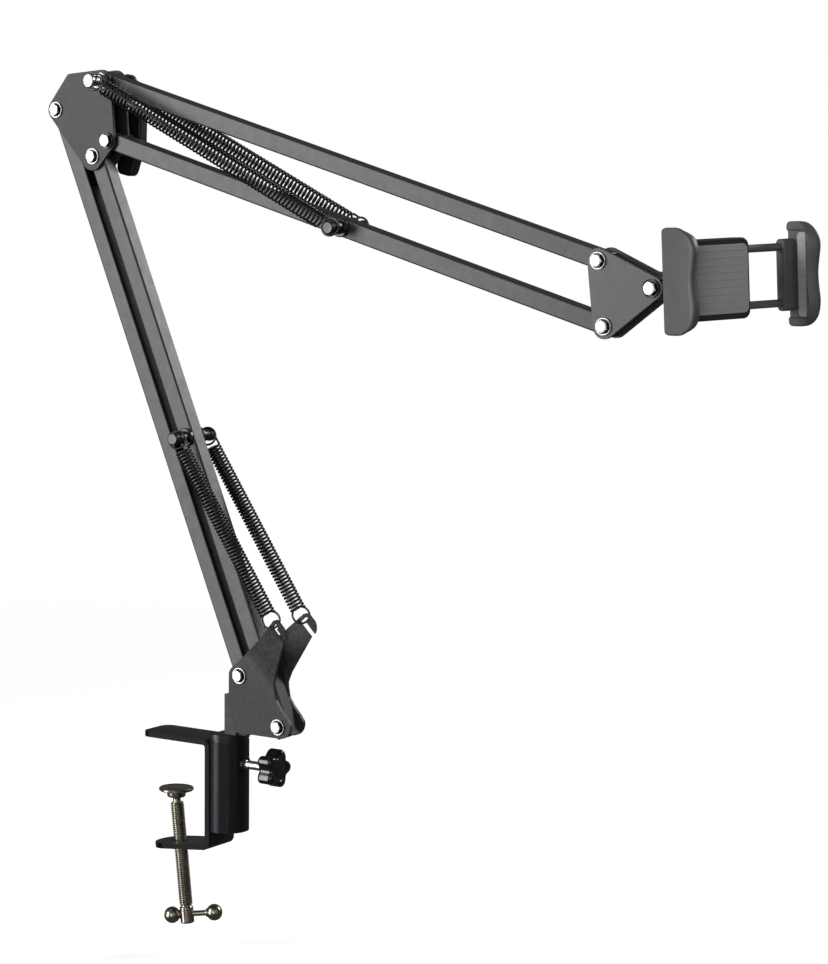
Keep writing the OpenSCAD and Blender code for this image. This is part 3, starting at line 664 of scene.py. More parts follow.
def lobed_rows(n_lobe, r_mid, amp, rows, m, seg=150, phase=0.0, sharp_valley=.0):
    bm = bmesh.new()
    rings = []
    for k, (z, off, scale) in enumerate(rows):
        ring = []
        for i in range(seg):
            th = 2 * math.pi * i / seg
            cval = math.cos(n_lobe * th)
            base = r_mid + amp * (cval if cval > 0 else cval * (1 + sharp_valley))
            r = (base - off) * scale + (1 - scale) * (r_mid - off)
            ring.append(bm.verts.new(put(m, (r * math.cos(th + phase), r * math.sin(th + phase), z))))
        rings.append(ring)
    return bm, rings


rows = [(21.3, 6.4, 0.0), (21.4, 5.9, 0.0), (22.3, 5.6, .0), (22.35, 3.0, .5), (22.4, 1.5, .9), (22.7, .7, 1), (23.3, .15, 1), (24.2, 0, 1),
        (29.6, 0, 1), (30.5, .12, 1), (31.3, .5, 1), (31.9, 1.1, .95), (32.1, 1.9, .85), (32.15, 2.7, .4), (32.0, 3.0, 0), (31.6, 3.3, 0),
        (31.55, 5.0, 0), (31.65, 5.3, 0), (31.8, 6.6, 0), (31.85, 8.4, 0)]
bm, rings = lobed_rows(5, 9.7, 1.5, rows, M_X, phase=rad(18), sharp_valley=.25)
add_rings(bm, rings)
finish_mesh("lock_knob_grip", bm, "knob", "lock_knob", "lock_knob", 55)

# ---------------------------------------------------------------- base bracket
BE = 44.6
UE = (s_(BE), c_(BE)); WE = (c_(BE), -s_(BE))
UB = 13.5
FLARE = math.degrees(math.atan((SPRING_Y - 6.3) / (43.6 - UB)))


def uw(u, w):
    return (P1[0] + u * UE[0] + w * WE[0], P1[1] + u * UE[1] + w * WE[1])


def bracket_cheek(bm, sg):
    """one cheek with its ear, bent out smoothly along the line u = 13.5"""
    lower = [(-1.8, 7), (6, 7), (6, 8.75)] + arc((36.6, 15.9), 7.2, 270, 371, 12) + [
        (41.3, 20.6), (36.8, 25.3), (33.6, 30.0), (32.6, 35.5)]
    ear = [uw(u, w) for w, u in ((19.0, 14.6), (16.1, 20.1), (8.8, 40.9))]
    slot = ([uw(40.9, 8.8), uw(40.9, 1.0), uw(40.9, -1.4), uw(41.3, -1.95), uw(42.2, -2.1), uw(44.4, -2.1), uw(45.3, -1.7), uw(45.75, -.6), uw(45.4, .4), uw(44.5, .85),
             uw(43.45, .95), uw(43.3, 8.85)])
    top = [uw(u, w) for w, u in ((8.2, 44.9), (7.0, 46.0), (5.6, 47.0), (3.6, 47.7), (-1.4, 47.7), (-2.6, 47.3), (-3.2, 46.9), (-4.1, 45.0), (-4.3, 29.2), (-5.4, 18.5))]
    left = arc((7.3, 40.9), 6.2, 118, 172, 6) + [(1.15, 34.0), (1.15, 30.4), (-1.8, 30.0)]
    out = lower + ear + slot + top + left
    t = bmesh.new()
    vs = [t.verts.new((x, z, 0)) for x, z in dedupe(out)]
    f = t.faces.new(vs)
    # cuts across the bend so that it can roll smoothly
    for k in range(-7, 8):
        o = uw(UB + k * .55, 0)
        bmesh.ops.bisect_plane(t, geom=t.verts[:] + t.edges[:] + t.faces[:], plane_co=(o[0], o[1], 0), plane_no=(UE[0], UE[1], 0), dist=1e-5)
    for k in range(1, 12):
        o = uw(UB + 4 + k * 2.6, 0)
        bmesh.ops.bisect_plane(t, geom=t.verts[:] + t.edges[:] + t.faces[:], plane_co=(o[0], o[1], 0), plane_no=(UE[0], UE[1], 0), dist=1e-5)
    bmesh.ops.triangulate(t, faces=[g for g in t.faces if len(g.verts) > 4], ngon_method="EAR_CLIP")
    bmesh.ops.join_triangles(t, faces=t.faces[:], angle_face_threshold=.1, angle_shape_threshold=1.2)
    # both skins and the rim between them
    tf = math.tan(rad(FLARE)); half = 3.6
    def off(x, z):
        u = (x - P1[0]) * UE[0] + (z - P1[1]) * UE[1] - UB
        if u <= -half: return 0.0, 0.0
        if u >= half: return u * tf, rad(FLARE)
        q = (u + half) / (2 * half)
        return tf * half * q * q, rad(FLARE) * q
    t.verts.ensure_lookup_table()
    edge_verts = {v for e in t.edges if len(e.link_faces) == 1 for v in e.verts}
    skin = {}
    for sd in (-1, 1):
        for v in t.verts:
            y, a = off(v.co.x, v.co.y)
            # the sheet is thinned from 2 mm to 1.4 mm where it is bent out
            n = Vector((-UE[0] * math.sin(a), math.cos(a), -UE[1] * math.sin(a)))
            b = Vector((v.co.x, 6.3 + y, v.co.y)) + n * (sd * (1.0 - .3 * a / rad(FLARE)))
            skin[sd, v] = bm.verts.new(W(b.x, sg * b.y, b.z))
        for g in t.faces:
            vv = [skin[sd, v] for v in g.verts]
            bm.faces.new(vv if sd * sg > 0 else vv[::-1])
    rim = [e for e in t.edges if len(e.link_faces) == 1]
    made = []
    for e in rim:
        a, b = e.verts
        made.append(bm.faces.new([skin[-1, a], skin[-1, b], skin[1, b], skin[1, a]]))
    t.free()
    # holes are hidden under the washers; the sheet's edges are broken
    return [skin[sd, v] for sd in (-1, 1) for v in edge_verts] if False else None


bm = bmesh.new()
for sg in (-1, 1):
    bracket_cheek(bm, sg)
bmesh.ops.recalc_face_normals(bm, faces=bm.faces)
es = [e for e in bm.edges if len(e.link_faces) == 2 and e.calc_face_angle(0) > rad(60)]
bmesh.ops.bevel(bm, geom=es, offset=.00032, offset_type="OFFSET", segments=2, profile=.6, affect="EDGES", clamp_overlap=True)
mfl = frame_at((0, 0, 0), (1, 0, 0), (0, 0, 1), (0, -1, 0))
slab_into(bm, mfl, [(-1.8, 7.0), (12.2, 7.0), (12.2, 9.0), (.2, 9.0), (.2, 30.0), (-1.8, 30.0)], -5.4, 5.4, .3, 2)
finish_mesh("base_bracket_sheet", bm, "bracket", "base", "base_bracket", 34, doubles=1e-7)


def near_axis(pts, r):
    """faces closer than r millimetres to one of the pivots' axes"""
    cs = [W(p[0], 0, p[1]) for p in pts]

    def test(f):
        return min(math.hypot(f.center.x - c[0], f.center.z - c[2]) for c in cs) < r / 1000
    return test


def bolt_set(tag, pts, body, nodes, mat="zinc", rots=(12, 34, 5)):
    """hex bolts, washers and nuts on pivots of the X-Z plane"""
    bm = bmesh.new()
    for k, p in enumerate(pts):
        hex_head_into(bm, yback(p), 6.0, YO + .3, 2.5, rots[k % 3])
        m = ypivot(p)
        lathe_into(bm, m, rounded([(0, -YO - WASH), (2.0, -YO - WASH), (2.0, YO + WASH + 2.6), (1.94, YO + WASH + 3.3),
                                   (1.6, YO + WASH + 3.6), (0, YO + WASH + 3.6)], .1), 32)
    second(finish_mesh(tag + "_hex_bolts", bm, mat, body, nodes[0], 32), "zinc_shade", lambda f: abs(f.normal.y) < .5 and f.center.y < 0)
    bm = bmesh.new()
    for p in pts:
        for m in (yback(p), ypivot(p)):
            lathe_into(bm, m, [(2.1, YO), (4.45, YO), (4.6, YO + .15), (4.6, YO + .7), (4.5, YO + .86), (4.4, YO + .9), (3.95, YO + .9), (3.8, YO + .8), (3.75, YO + .3), (2.1, YO + .3), (2.1, YO)], 56)
    second(finish_mesh(tag + "_plain_washers", bm, mat, body, nodes[1], 40), "zinc_shade", near_axis(pts, 3.85))
    bm = bmesh.new()
    for k, p in enumerate(pts):
        n = 72
        m = ypivot(p)
        a = 3.5
        rows = []
        for (rr, z) in (("i", 0), ("c", 0), ("s", .35), ("s", 2.85), ("c", 3.2), ("i", 3.2)):
            ring = []
            for i in range(n):
                th = 2 * math.pi * i / n
                t = ((math.degrees(th) + 30) % 60) - 30
                rho = a / math.cos(rad(t)) * .992
                r = {"i": 2.02, "c": min(rho, a * .95), "s": rho}[rr]
                zz = z
                if rr == "s":
                    zz = .0 + (rho - a * .95) * .6 if z < 1 else 3.2 - (rho - a * .95) * .6
                ring.append(bm.verts.new(put(m, (r * math.cos(th + .35), r * math.sin(th + .35), YO + WASH + zz))))
            rows.append(ring)
        add_rings(bm, rows + [rows[0]], cap0=False, cap1=False)
    finish_mesh(tag + "_hex_nuts", bm, mat, body, nodes[2], 32)


bolt_set("base", [P1, P2], "base", ("base_bolts", "base_washers", "base_nuts"))
bolt_set("elbow", [P3, P4], "elbow", ("elbow_bolts", "elbow_washers", "elbow_nuts"), rots=(0, 22, 8))
bolt_set("tip", [T1, T2], "tip", ("tip_bolts", "tip_washers", "tip_nuts"), rots=(28, 10, 3))


# ---------------------------------------------------------------- tubes
def tube(name, node, p, ang, l0, l1, body, mat="tube"):
    """square tube with rounded outer and inner corners, deburred ends and open bore"""
    ux = (c_(ang), 0, s_(ang)); uz = (-s_(ang), 0, c_(ang))
    m = frame_at((p[0], 0, p[1]), (0, 1, 0), uz, ux)     # local z along the tube, x across, y up

    def sq(w, r, n=5):
        h = w / 2 - r
        out = []
        for cx, cy, a0 in ((h, h, 0), (-h, h, 90), (-h, -h, 180), (h, -h, 270)):
            out += arc((cx, cy), r, a0, a0 + 90, n)
        return out
    o = sq(10, 1.15); o2 = sq(9.7, 1.05); i2 = sq(8.3, .6); i = sq(8.0, .55)
    bm = bmesh.new()
    rings = []
    k = 24
    spans = [l0 + .15 + (l1 - l0 - .3) * t / k for t in range(k + 1)]
    rows = [(i, l0 + .2), (i2, l0), (o2, l0)] + [(o, z) for z in spans] + [(o2, l1), (i2, l1), (i, l1 - .2)]
    for poly, z in rows:
        rings.append([bm.verts.new(put(m, (x, y, z))) for x, y in poly])
    add_rings(bm, rings + [rings[0]], cap0=False, cap1=False)
    return finish_mesh(name, bm, mat, body, node, 30)


# the left tube's side that faces the right one is never lit: painted shade, a darker copy of the coat
second(tube("lower_tube_left_section", "lower_tube_left", P1, 112.65, -5, 344.8, "lower_left"), "tube_painted_shade",
       lambda f: f.normal.x * c_(22.65) + f.normal.z * s_(22.65) > .6)
tube("lower_tube_right_section", "lower_tube_right", P2, 112.65, -6.6, 344.8, "lower_right")
tube("upper_tube_top_section", "upper_tube_top", P6, -15.95, -3.5, 340.4, "upper_top")
tube("upper_tube_bottom_section", "upper_tube_bottom", P5, -15.95, 6.2, 340.4, "upper_bottom")


# ---------------------------------------------------------------- spring pins and rollers
def cross_pin(name, node, p, body):
    bm = bmesh.new()
    for m in (yback(p), ypivot(p)):
        lathe_into(bm, m, rounded([(0, 0), (2.5, 0), (2.5, 5.0), (5.3, 5.0), (5.3, 6.6), (4.9, 7.0), (3.7, 7.05), (3.6, 7.4), (3.6, 10.8), (3.3, 11.2),
                                   (2.5, 11.2), (2.5, 16.6), (3.4, 16.6), (3.6, 17.0), (3.5, 17.8), (2.9, 18.2), (0, 18.2)], .15), 40)
    finish_mesh(name, bm, "pin", body, node, 40)


cross_pin("lower_cross_pin", "lower_spring_pin", PB, "lower_right")
cross_pin("upper_cross_pin", "upper_spring_pin", PD, "upper_bottom")


def rollers(name, node, p, body):
    bm = bmesh.new()
    for m in (yback(p), ypivot(p)):
        lathe_into(bm, m, [(2.56, 11.5), (3.2, 11.5), (3.3, 11.7), (3.3, 15.75), (3.65, 15.95), (3.65, 16.2), (3.5, 16.3), (2.56, 16.3), (2.56, 11.5)], 40)
    finish_mesh(name, bm, "roller", body, node, 40)


rollers("lower_nylon_rollers", "lower_pin_rollers", PB, "lower_rollers")
rollers("upper_nylon_rollers", "upper_pin_rollers", PD, "upper_rollers")


# ---------------------------------------------------------------- springs
def spring(name, node, a, b, y, ta, tb, ga, gb, turns, body, sides=9, R=4.0, wr=.63):
    """tension spring: end ring round a, open coil, end ring round b. ta and tb tilt the rings
    about the spring's line, ga and gb are where the coil starts and stops"""
    A, B = Vector((a[0], y, a[1])), Vector((b[0], y, b[1]))
    d = (B - A); Ln = d.length; d.normalize()
    e = Vector((-d.z, 0, d.x))               # perpendicular in the arm's plane
    if e.z < 0: e = e
    Y = Vector((0, 1, 0))

    def q(t):
        return e * c_(t) - Y * s_(t)
    qa, qb = q(ta), q(tb)
    rr = 4.9
    pts = []
    # ring at a, from behind the link round to the link
    n = 26
    for i in range(n + 1):
        ang = 54.7 + 359 * (1 - i / n)
        pts.append(A + (d * c_(ang) + qa * s_(ang)) * rr)
    # one lead point gives a smooth run into the coil
    x0, x1 = ga, Ln - gb
    ph_a = math.atan2(qa.dot(Y), qa.dot(e)); ph_b = math.atan2(qb.dot(Y), qb.dot(e))
    dphi = ph_b - ph_a
    total = 2 * math.pi * turns + dphi
    lead = [A + d * (2.83 + (x0 - 2.83) * t) + qa * (R + .0 * t) for t in (.5,)]
    pts += lead
    seg = 14
    N = int(round(abs(total) / (2 * math.pi) * seg))
    for i in range(N + 1):
        t = i / N
        ph = ph_a + total * t
        x = x0 + (x1 - x0) * t
        pts.append(A + d * x + (e * math.cos(ph) + Y * math.sin(ph)) * R)
    pts += [A + d * (x1 + (Ln - 2.83 - x1) * t) + qb * R for t in (.5,)]
    for i in range(n + 1):
        ang = 180 - 54.7 - 359 * (i / n)
        pts.append(B + (d * c_(ang) + qb * s_(ang)) * rr)
    bm = bmesh.new()
    sweep_into(bm, pts, wr, sides)
    finish_mesh(name, bm, "spring", body, node, 70, wn=False)


def unit(a, b):
    d = (b[0] - a[0], b[1] - a[1]); L = math.hypot(*d)
    return (d[0] / L, d[1] / L)


dlo = unit(PB, HK); dup = unit(P6, PD)
A1 = along(PB, dlo, .9); B1 = HK
spring("lower_coil_front", "lower_spring_front", A1, B1, -SPRING_Y, -20, -36, 6.6, 3.6, 53, "lower_springs")
spring("lower_coil_back", "lower_spring_back", A1, along(HK, dlo, .9), SPRING_Y, -20, -50, 6.6, 3.4, 53, "lower_springs")
A2 = along(P6, dup, 1.2); B2 = along(PD, dup, -.9)
spring("upper_coil_front", "upper_spring_front", A2, B2, -SPRING_Y, -20, -20, 6.6, 7, 64, "upper_springs")
spring("upper_coil_back", "upper_spring_back", A2, B2, SPRING_Y, -20, -20, 6.6, 7, 64, "upper_springs")

# ---------------------------------------------------------------- elbow
ELBOW = blob([(-97, 329.4, 7.4), (-82.4, 337.6, 2.1), (P6[0], P6[1], 6.5), (-113.2, 374.6, 2.2), (P3[0], P3[1], 6.0)])
TIP = blob([(T2[0], T2[1], 6.5), (T3[0], T3[1], 6.1), (T1[0], T1[1], 6.5)])


def plate(name, node, outline, y0, y1, mat, body):
    bm = bmesh.new()
    m = frame_at((0, 0, 0), (1, 0, 0), (0, 0, 1), (0, -1, 0))
    slab_into(bm, m, outline, -y1, -y0, .28, 3)
    finish_mesh(name, bm, mat, body, node, 35)


plate("elbow_cheek_front", "elbow_plate_front", ELBOW, -7.3, -5.3, "plate", "elbow")
plate("elbow_cheek_back", "elbow_plate_back", ELBOW, 5.3, 7.3, "plate", "elbow")
# the tip's cheeks take the lighter copy of the plate coat: painted light
plate("tip_cheek_front", "tip_plate_front", TIP, -7.3, -5.3, "plate_tip_painted_light", "tip")
plate("tip_cheek_back", "tip_plate_back", TIP, 5.3, 7.3, "plate_tip_painted_light", "tip")


def friction_bolt(name, node, wnode, p, body):
    """hex-headed pivot bolt of a friction joint, on its dark plastic washer"""
    bm = bmesh.new()
    m = yback(p)
    lathe_into(bm, m, rounded([(0, 0), (2.0, 0), (2.0, YO + .55), (0, YO + .55)], .1), 40)
    hex_head_into(bm, m, 6.5, YO + .5, 2.4, 16)
    lathe_into(bm, ypivot(p), rounded([(0, 0), (2.0, 0), (2.0, 17.0), (1.8, 17.2), (0, 17.2)], .1), 32)
    second(finish_mesh(name, bm, "zinc", body, node, 32), "zinc_shade", lambda f: abs(f.normal.y) < .5 and f.center.y < 0)
    bm = bmesh.new()
    lathe_into(bm, m, [(2.1, YO), (4.6, YO), (4.75, YO + .15), (4.75, YO + 1.1), (4.55, YO + 1.3), (4.25, YO + 1.25), (4.1, YO + .5), (2.1, YO + .5), (2.1, YO)], 56)
    finish_mesh(name + "_washer", bm, "pin", body, wnode, 40)


friction_bolt("elbow_friction_bolt", "elbow_knob_bolt", "elbow_knob_washer", P5, "elbow")
friction_bolt("tip_friction_bolt", "tip_knob_bolt", "tip_knob_washer", T3, "tip")


def wing_knob(name, node, p, tilt, up, dn, body):
    bm = bmesh.new()
    out = blob([(-2.2, -(dn - 4.2), 3.6), (2.2, -(dn - 4.2), 3.6), (5.2, 0, 3), (2.4, up - 3.4, 3.0), (-2.4, up - 3.4, 3.0), (-5.2, 0, 3)], 9)
    base = Matrix.Translation(Vector((p[0], 0, p[1]))) @ Matrix.Rotation(rad(tilt), 4, "Y")
    m = base @ frame_at((0, 0, 0), (1, 0, 0), (0, 0, 1), (0, -1, 0))
    slab_into(bm, m, out, -19.7, -12.5, 1.3, 4)
    mm = ypivot(p)
    lathe_into(bm, mm, rounded([(2.05, YO + .1), (5.6, YO + .1), (6.0, YO + .5), (6.0, 12.8), (5.2, 13.2), (2.05, 13.2)], .1) + [(2.05, YO + .1)], 48)
    # shallow round boss and recess on the outer face
    lathe_into(bm, mm, [(0, 19.2), (4.6, 19.2), (4.8, 19.75), (4.6, 20.0), (3.6, 20.0), (3.3, 19.5), (0, 19.45)], 40)
    finish_mesh(name, bm, "wing", body, node, 40)


wing_knob("elbow_wing_knob", "elbow_knob", P5, 12, 19, 20.5, "elbow_knob")
wing_knob("tip_wing_knob", "tip_knob", T3, 100, 14, 14, "tip_knob")

bm = bmesh.new()
lathe_into(bm, yback(P6), rounded([(0, -18.4), (3.0, -18.4), (3.0, 17.4), (3.75, 17.45), (3.9, 17.8), (3.9, 18.9), (3.6, 19.4), (2.6, 19.6), (0, 19.6)], .12), 48)
finish_mesh("spring_post_rod", bm, "zinc", "elbow", "spring_post", 40)
bm = bmesh.new()
lathe_into(bm, ypivot(P6), rounded([(3.0, 17.1), (4.3, 17.1), (4.5, 17.4), (4.5, 19.7), (3.9, 20.5), (2.6, 20.8), (0, 20.8)], .2), 40)
finish_mesh("spring_post_cap", bm, "pin", "elbow", "post_cap", 40)
bm = bmesh.new()
for m in (yback(P6), ypivot(P6)):
    lathe_into(bm, m, [(3.0, 7.32), (4.7, 7.32), (4.9, 7.5), (4.9, 8.4), (4.7, 8.6), (4.1, 8.6), (4.0, 8.8), (4.0, 11.0), (3.8, 11.2), (3.0, 11.2), (3.0, 7.32)], 48)
finish_mesh("post_flange_collars", bm, "zinc", "elbow", "post_collars", 40)

# plug in the lower upper-arm tube's end
from_cad("friction_plug_block", "friction_plug", "roller", "upper_bottom", bevel=.3, seg=2)

# ---------------------------------------------------------------- ball joint
M_AX = M_ADAPT @ frame_at((0, 0, 0), (0, 1, 0), (0, 0, 1), (1, 0, 0))      # local z along the adapter
bm = bmesh.new()
lathe_into(bm, M_ADAPT @ frame_at((0, 0, 0), (1, 0, 0), (0, 0, -1), (0, 1, 0)),
           [(2.05, -5), (5.9, -5), (6.2, -4.7), (6.2, 4.7), (5.9, 5), (2.05, 5), (2.05, -5)], 48)
slab_into(bm, M_ADAPT @ frame_at((0, 0, 0), (1, 0, 0), (0, 0, 1), (0, -1, 0)),
          [(3.6, -4.6), (13.5, -4.6), (13.5, 4.6), (3.6, 4.6)], -5, 5, .6, 3)
lathe_into(bm, M_AX, rounded([(0, 9.6), (4.9, 9.6), (7.0, 11.2), (9.6, 14.0), (10.4, 14.6), (10.4, 28.4), (10.0, 28.8), (8.8, 28.8), (8.35, 28.3),
                              (8.62, 26), (7.4, 21.6), (4.4, 18.6), (0, 17.4)], .3), 64)
finish_mesh("ball_socket_cup", bm, "joint", "adapter", "ball_socket", 38)

# knurled ring nut
bm = bmesh.new()
seg = 192
rows = []
for z, r, k in ((17.2, 10.46, 0), (17.2, 11.4, 0), (17.5, 12.0, .4), (18.1, 12.3, 1), (20.2, 12.35, 1), (27.4, 12.35, 1), (28.6, 12.2, 1),
                (29.2, 11.8, .5), (29.6, 11.0, 0), (29.6, 9.9, 0), (29.3, 9.45, 0), (29.05, 9.4, 0), (29.0, 10.46, 0)):
    ring = []
    for i in range(seg):
        th = 2 * math.pi * i / seg
        kn = .55 * (abs(((i % 8) / 8) - .5) * 2 - .5) * k
        rr = r + kn
        ring.append(bm.verts.new(put(M_AX, (rr * math.cos(th), rr * math.sin(th), z))))
    rows.append(ring)
add_rings(bm, rows + [rows[0]], cap0=False, cap1=False)
finish_mesh("ring_nut_knurled", bm, "joint", "ring", "socket_ring", 28)

bm = bmesh.new()
prof = [(8.5 * math.sin(math.pi * i / 32), BALL[2] * 0 + 8.5 * math.cos(math.pi * i / 32)) for i in range(33)]
prof[0] = (0, 8.5); prof[-1] = (0, -8.5)
lathe_into(bm, M_CLIP @ Matrix.Rotation(rad(90), 4, "Y"), prof, 64)
finish_mesh("clip_ball_sphere", bm, "ball", "ball", "clip_ball", 60)

M_CX = M_CLIP @ frame_at((0, 0, 0), (0, 1, 0), (0, 0, 1), (1, 0, 0))       # local z along the clip's axis
bm = bmesh.new()
lathe_into(bm, M_CX, rounded([(0, 8.62), (2.6, 8.2), (3.2, 8.7), (3.2, 12.6), (3.8, 13.3), (8.7, 13.4), (9.0, 13.7), (9.0, 15.0), (8.7, 15.3), (4.0, 15.3),
                              (4.0, 20.0), (3.7, 20.2), (0, 20.2)], .2), 56)
finish_mesh("clip_neck_flange", bm, "joint", "neck", "clip_stud", 40)


# ---------------------------------------------------------------- clip
def rrect(x0, x1, y0, y1, r, n=6):
    out = []
    for cx, cy, a0 in ((x1 - r, y1 - r, 0), (x0 + r, y1 - r, 90), (x0 + r, y0 + r, 180), (x1 - r, y0 + r, 270)):
        out += arc((cx, cy), r, a0, a0 + 90, n)
    return out


M_CY = M_CLIP @ frame_at((0, 0, 0), (0, 1, 0), (0, 0, 1), (1, 0, 0))
bm = bmesh.new()
slab_into(bm, M_CY, rrect(-31, 7.5, -20, 20, 4), 15.6, 28.2, 1.6, 4, rnd0=3.2, rnd1=1.0)
finish_mesh("clip_housing", bm, "body", "clip", "clip_body", 40)

bm = bmesh.new()
slab_into(bm, M_CY, rrect(-28, 5.5, -17, 17, 3), 28.1, 29.6, .45, 3)
# shallow grip ribs
for k in range(-4, 5):
    z = k * 3.6
    slab_into(bm, M_CY, rrect(-25.5, 3.0, z - .55, z + .55, .5, 3), 29.3, 30.0, .25, 2)
finish_mesh("back_cushion", bm, "pad", "clip", "back_pad", 40)

# front edge of the jaw's flat side: reach along the clip's axis against height
EDGE = [(-26.0, 29.0), (-25.85, 30.8), (-25.5, 32.6), (-24.9, 34.4), (-23.9, 36.4), (-22.3, 38.5), (-20.2, 40.2), (-17.6, 41.3), (-15.2, 41.9),
        (-12.0, 42.1), (-9.2, 41.8), (-4.5, 41.1), (.7, 40.8), (4.0, 41.1), (7.1, 41.7), (11.0, 42.5), (14.0, 43.0), (16.6, 42.9), (19.0, 42.0),
        (21.0, 40.6), (22.8, 38.7), (24.2, 36.8), (25.2, 34.9), (25.9, 33.0), (26.3, 31.3), (26.5, 29.5)]


def edge_at(z):
    if z <= EDGE[0][0]: return EDGE[0][1]
    for i in range(len(EDGE) - 1):
        (z0, l0), (z1, l1) = EDGE[i], EDGE[i + 1]
        if z <= z1:
            # Catmull-Rom
            lm = EDGE[i - 1] if i else EDGE[i]
            lp = EDGE[i + 2] if i + 2 < len(EDGE) else EDGE[i + 1]
            t = (z - z0) / (z1 - z0)
            m0 = (l1 - lm[1]) / (z1 - lm[0]) * (z1 - z0); m1 = (lp[1] - l0) / (lp[0] - z0) * (z1 - z0)
            return ((2 * t ** 3 - 3 * t ** 2 + 1) * l0 + (t ** 3 - 2 * t ** 2 + t) * m0 + (-2 * t ** 3 + 3 * t ** 2) * l1 + (t ** 3 - t ** 2) * m1)
    return EDGE[-1][1]


def jaw_profile(z, zlo=-26.0, zhi=26.5):
    """closed section of a jaw at height z: (reach, distance from the middle)"""
    Lf = edge_at(z)
    end = min(z - zlo, zhi - z)
    rear = 20 + (2.6 - math.sqrt(max(0, 2.6 ** 2 - max(0, 2.6 - end) ** 2)) if end < 2.6 else 0)
    # rolled top and bottom edges
    q = 1.4 - math.sqrt(max(0, 1.4 ** 2 - max(0, 1.4 - end) ** 2)) if end < 1.4 else 0
    k = min(1, max(0, (Lf - 34.5) / 6.2)); k = k * k * (3 - 2 * k)
    # past the cushion's ends the wall is as thick as wall and cushion together
    g = min(1, max(0, (4.6 - end) / .5))
    yo, yi = 40.1 - q, 38.0 - .95 * g + .5 * q
    D = (yo - yi) + (6.3 - (40.1 - yi)) * k
    pts = [(rear, yo - .5), (rear + .5, yo), ((rear + Lf) / 2, yo)]
    bul = 1.2 + .8 * k - .5 * q
    n = 12
    for i in range(n + 1):
        u = i / n
        y = yo - D * u
        L = Lf - .35 + bul * math.sin(math.pi * min(1, u ** .62)) - .7 * u * u
        pts.append((L, y))
    # rounded tip and back along the inside
    tipL = pts[-1][0]
    inner = min(38.7 if k > .02 else tipL - 1.0, tipL - 1.2)
    y_t = yo - D
    pts += [(tipL - .25, y_t - .12), (inner + .45, y_t - .05), (inner, y_t + .4)]
    pts += [(inner - .05, yi + (y_t - yi) * .35 + .3), (inner - .3, yi)]
    m = min(34.0, inner - .6)
    pts += [(m, yi), (min(28.0, m - .5), yi), (rear + .5, yi), (rear, yi + .5)]
    return pts


def jaw(name, node, sg, body):
    bm = bmesh.new()
    zs = []
    z = -26.0
    while z < 26.5 - 1e-6:
        zs.append(z)
        near = min(z + 26, 26.5 - z)
        z += .22 if near < 2 else (.6 if near < 6 else 1.1)
    zs.append(26.5)
    rings = []
    for z in zs:
        rings.append([bm.verts.new(put(M_CLIP, (L, sg * y, z))) for L, y in jaw_profile(z)])
    add_rings(bm, rings)
    # foot that carries the jaw on the housing or the rods
    if sg < 0:
        x0, x1 = -38.3, -30.5
    else:
        x0, x1 = 30.2, 38.3
    m = M_CLIP @ frame_at((0, 0, 0), (1, 0, 0), (0, 0, 1), (0, -1, 0))
    slab_into(bm, m, rrect(20.2, 27, -18, 18, 2.5, 5), -x1, -x0, .5, 3)
    return finish_mesh(name, bm, "jaw", body, node, 32)


jaw("fixed_jaw_shell", "fixed_jaw", -1, "clip")
jaw("sliding_jaw_shell", "sliding_jaw", 1, "slider")


def jaw_pad(name, node, sg, body):
    bm = bmesh.new()
    m = M_CLIP @ frame_at((0, 0, 0), (1, 0, 0), (0, 0, 1), (0, -1, 0))
    out = rrect(28.5, 38.4, -21, 21, 2.2, 5)
    y0, y1 = (37.1, 38.05)
    if sg < 0:
        slab_into(bm, m, out, 37.1, 38.05, .3, 3, rnd1=0)
    else:
        slab_into(bm, m, out, -38.05, -37.1, .3, 3, rnd0=0)
    for k in range(-5, 6):
        z = k * 3.5
        o = rrect(29.8, 37.2, z - .5, z + .5, .45, 3)
        if sg < 0:
            slab_into(bm, m, o, 36.85, 37.3, .2, 2, rnd1=0)
        else:
            slab_into(bm, m, o, -37.3, -36.85, .2, 2, rnd0=0)
    finish_mesh(name, bm, "pad", body, node, 40)


jaw_pad("fixed_jaw_cushion", "fixed_pad", -1, "clip")
jaw_pad("sliding_jaw_cushion", "sliding_pad", 1, "slider")

bm = bmesh.new()
for s in (-1, 1):
    m = M_CLIP @ Matrix.Translation(Vector((23, 0, s * 14))) @ Matrix.Rotation(rad(-90), 4, "X")
    lathe_into(bm, m, rounded([(0, -15.5), (2.9, -15.5), (2.9, -13.9), (2.0, -13.9), (2.0, 36.4), (0, 36.4)], .15), 32)
finish_mesh("guide_rods", bm, "zinc", "slider", "jaw_rods", 40)

bm = bmesh.new()
for s in (-1, 1):
    cx = 23; n = 150
    pts = []
    for i in range(n + 1):
        t = i / n
        a = 2 * math.pi * 10 * t
        q = M_CLIP @ Vector((cx + 2.55 * math.cos(a), -13.4 + 17.4 * t, s * 14 + 2.55 * math.sin(a)))
        pts.append(q)
    sweep_into(bm, pts, .35, 7)
finish_mesh("guide_rod_springs", bm, "steel", "clip", "jaw_springs", 60, wn=False)

# ---------------------------------------------------------------- stage
def plane(name, size, z, mat):
    bm = bmesh.new()
    h = size / 2
    vs = [bm.verts.new((x, y, z)) for x, y in ((-h, -h), (h, -h), (h, h), (-h, h))]
    bm.faces.new(vs)
    me = bpy.data.meshes.new(name); bm.to_mesh(me); bm.free()
    ob = bpy.data.objects.new(name, me)
    bpy.context.scene.collection.objects.link(ob)
    me.materials.append(mat)
    # the backdrop is for the picture only and throws no white into the coats
    ob.visible_glossy = False
    ob.visible_diffuse = False
    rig.stage(ob)
    return ob


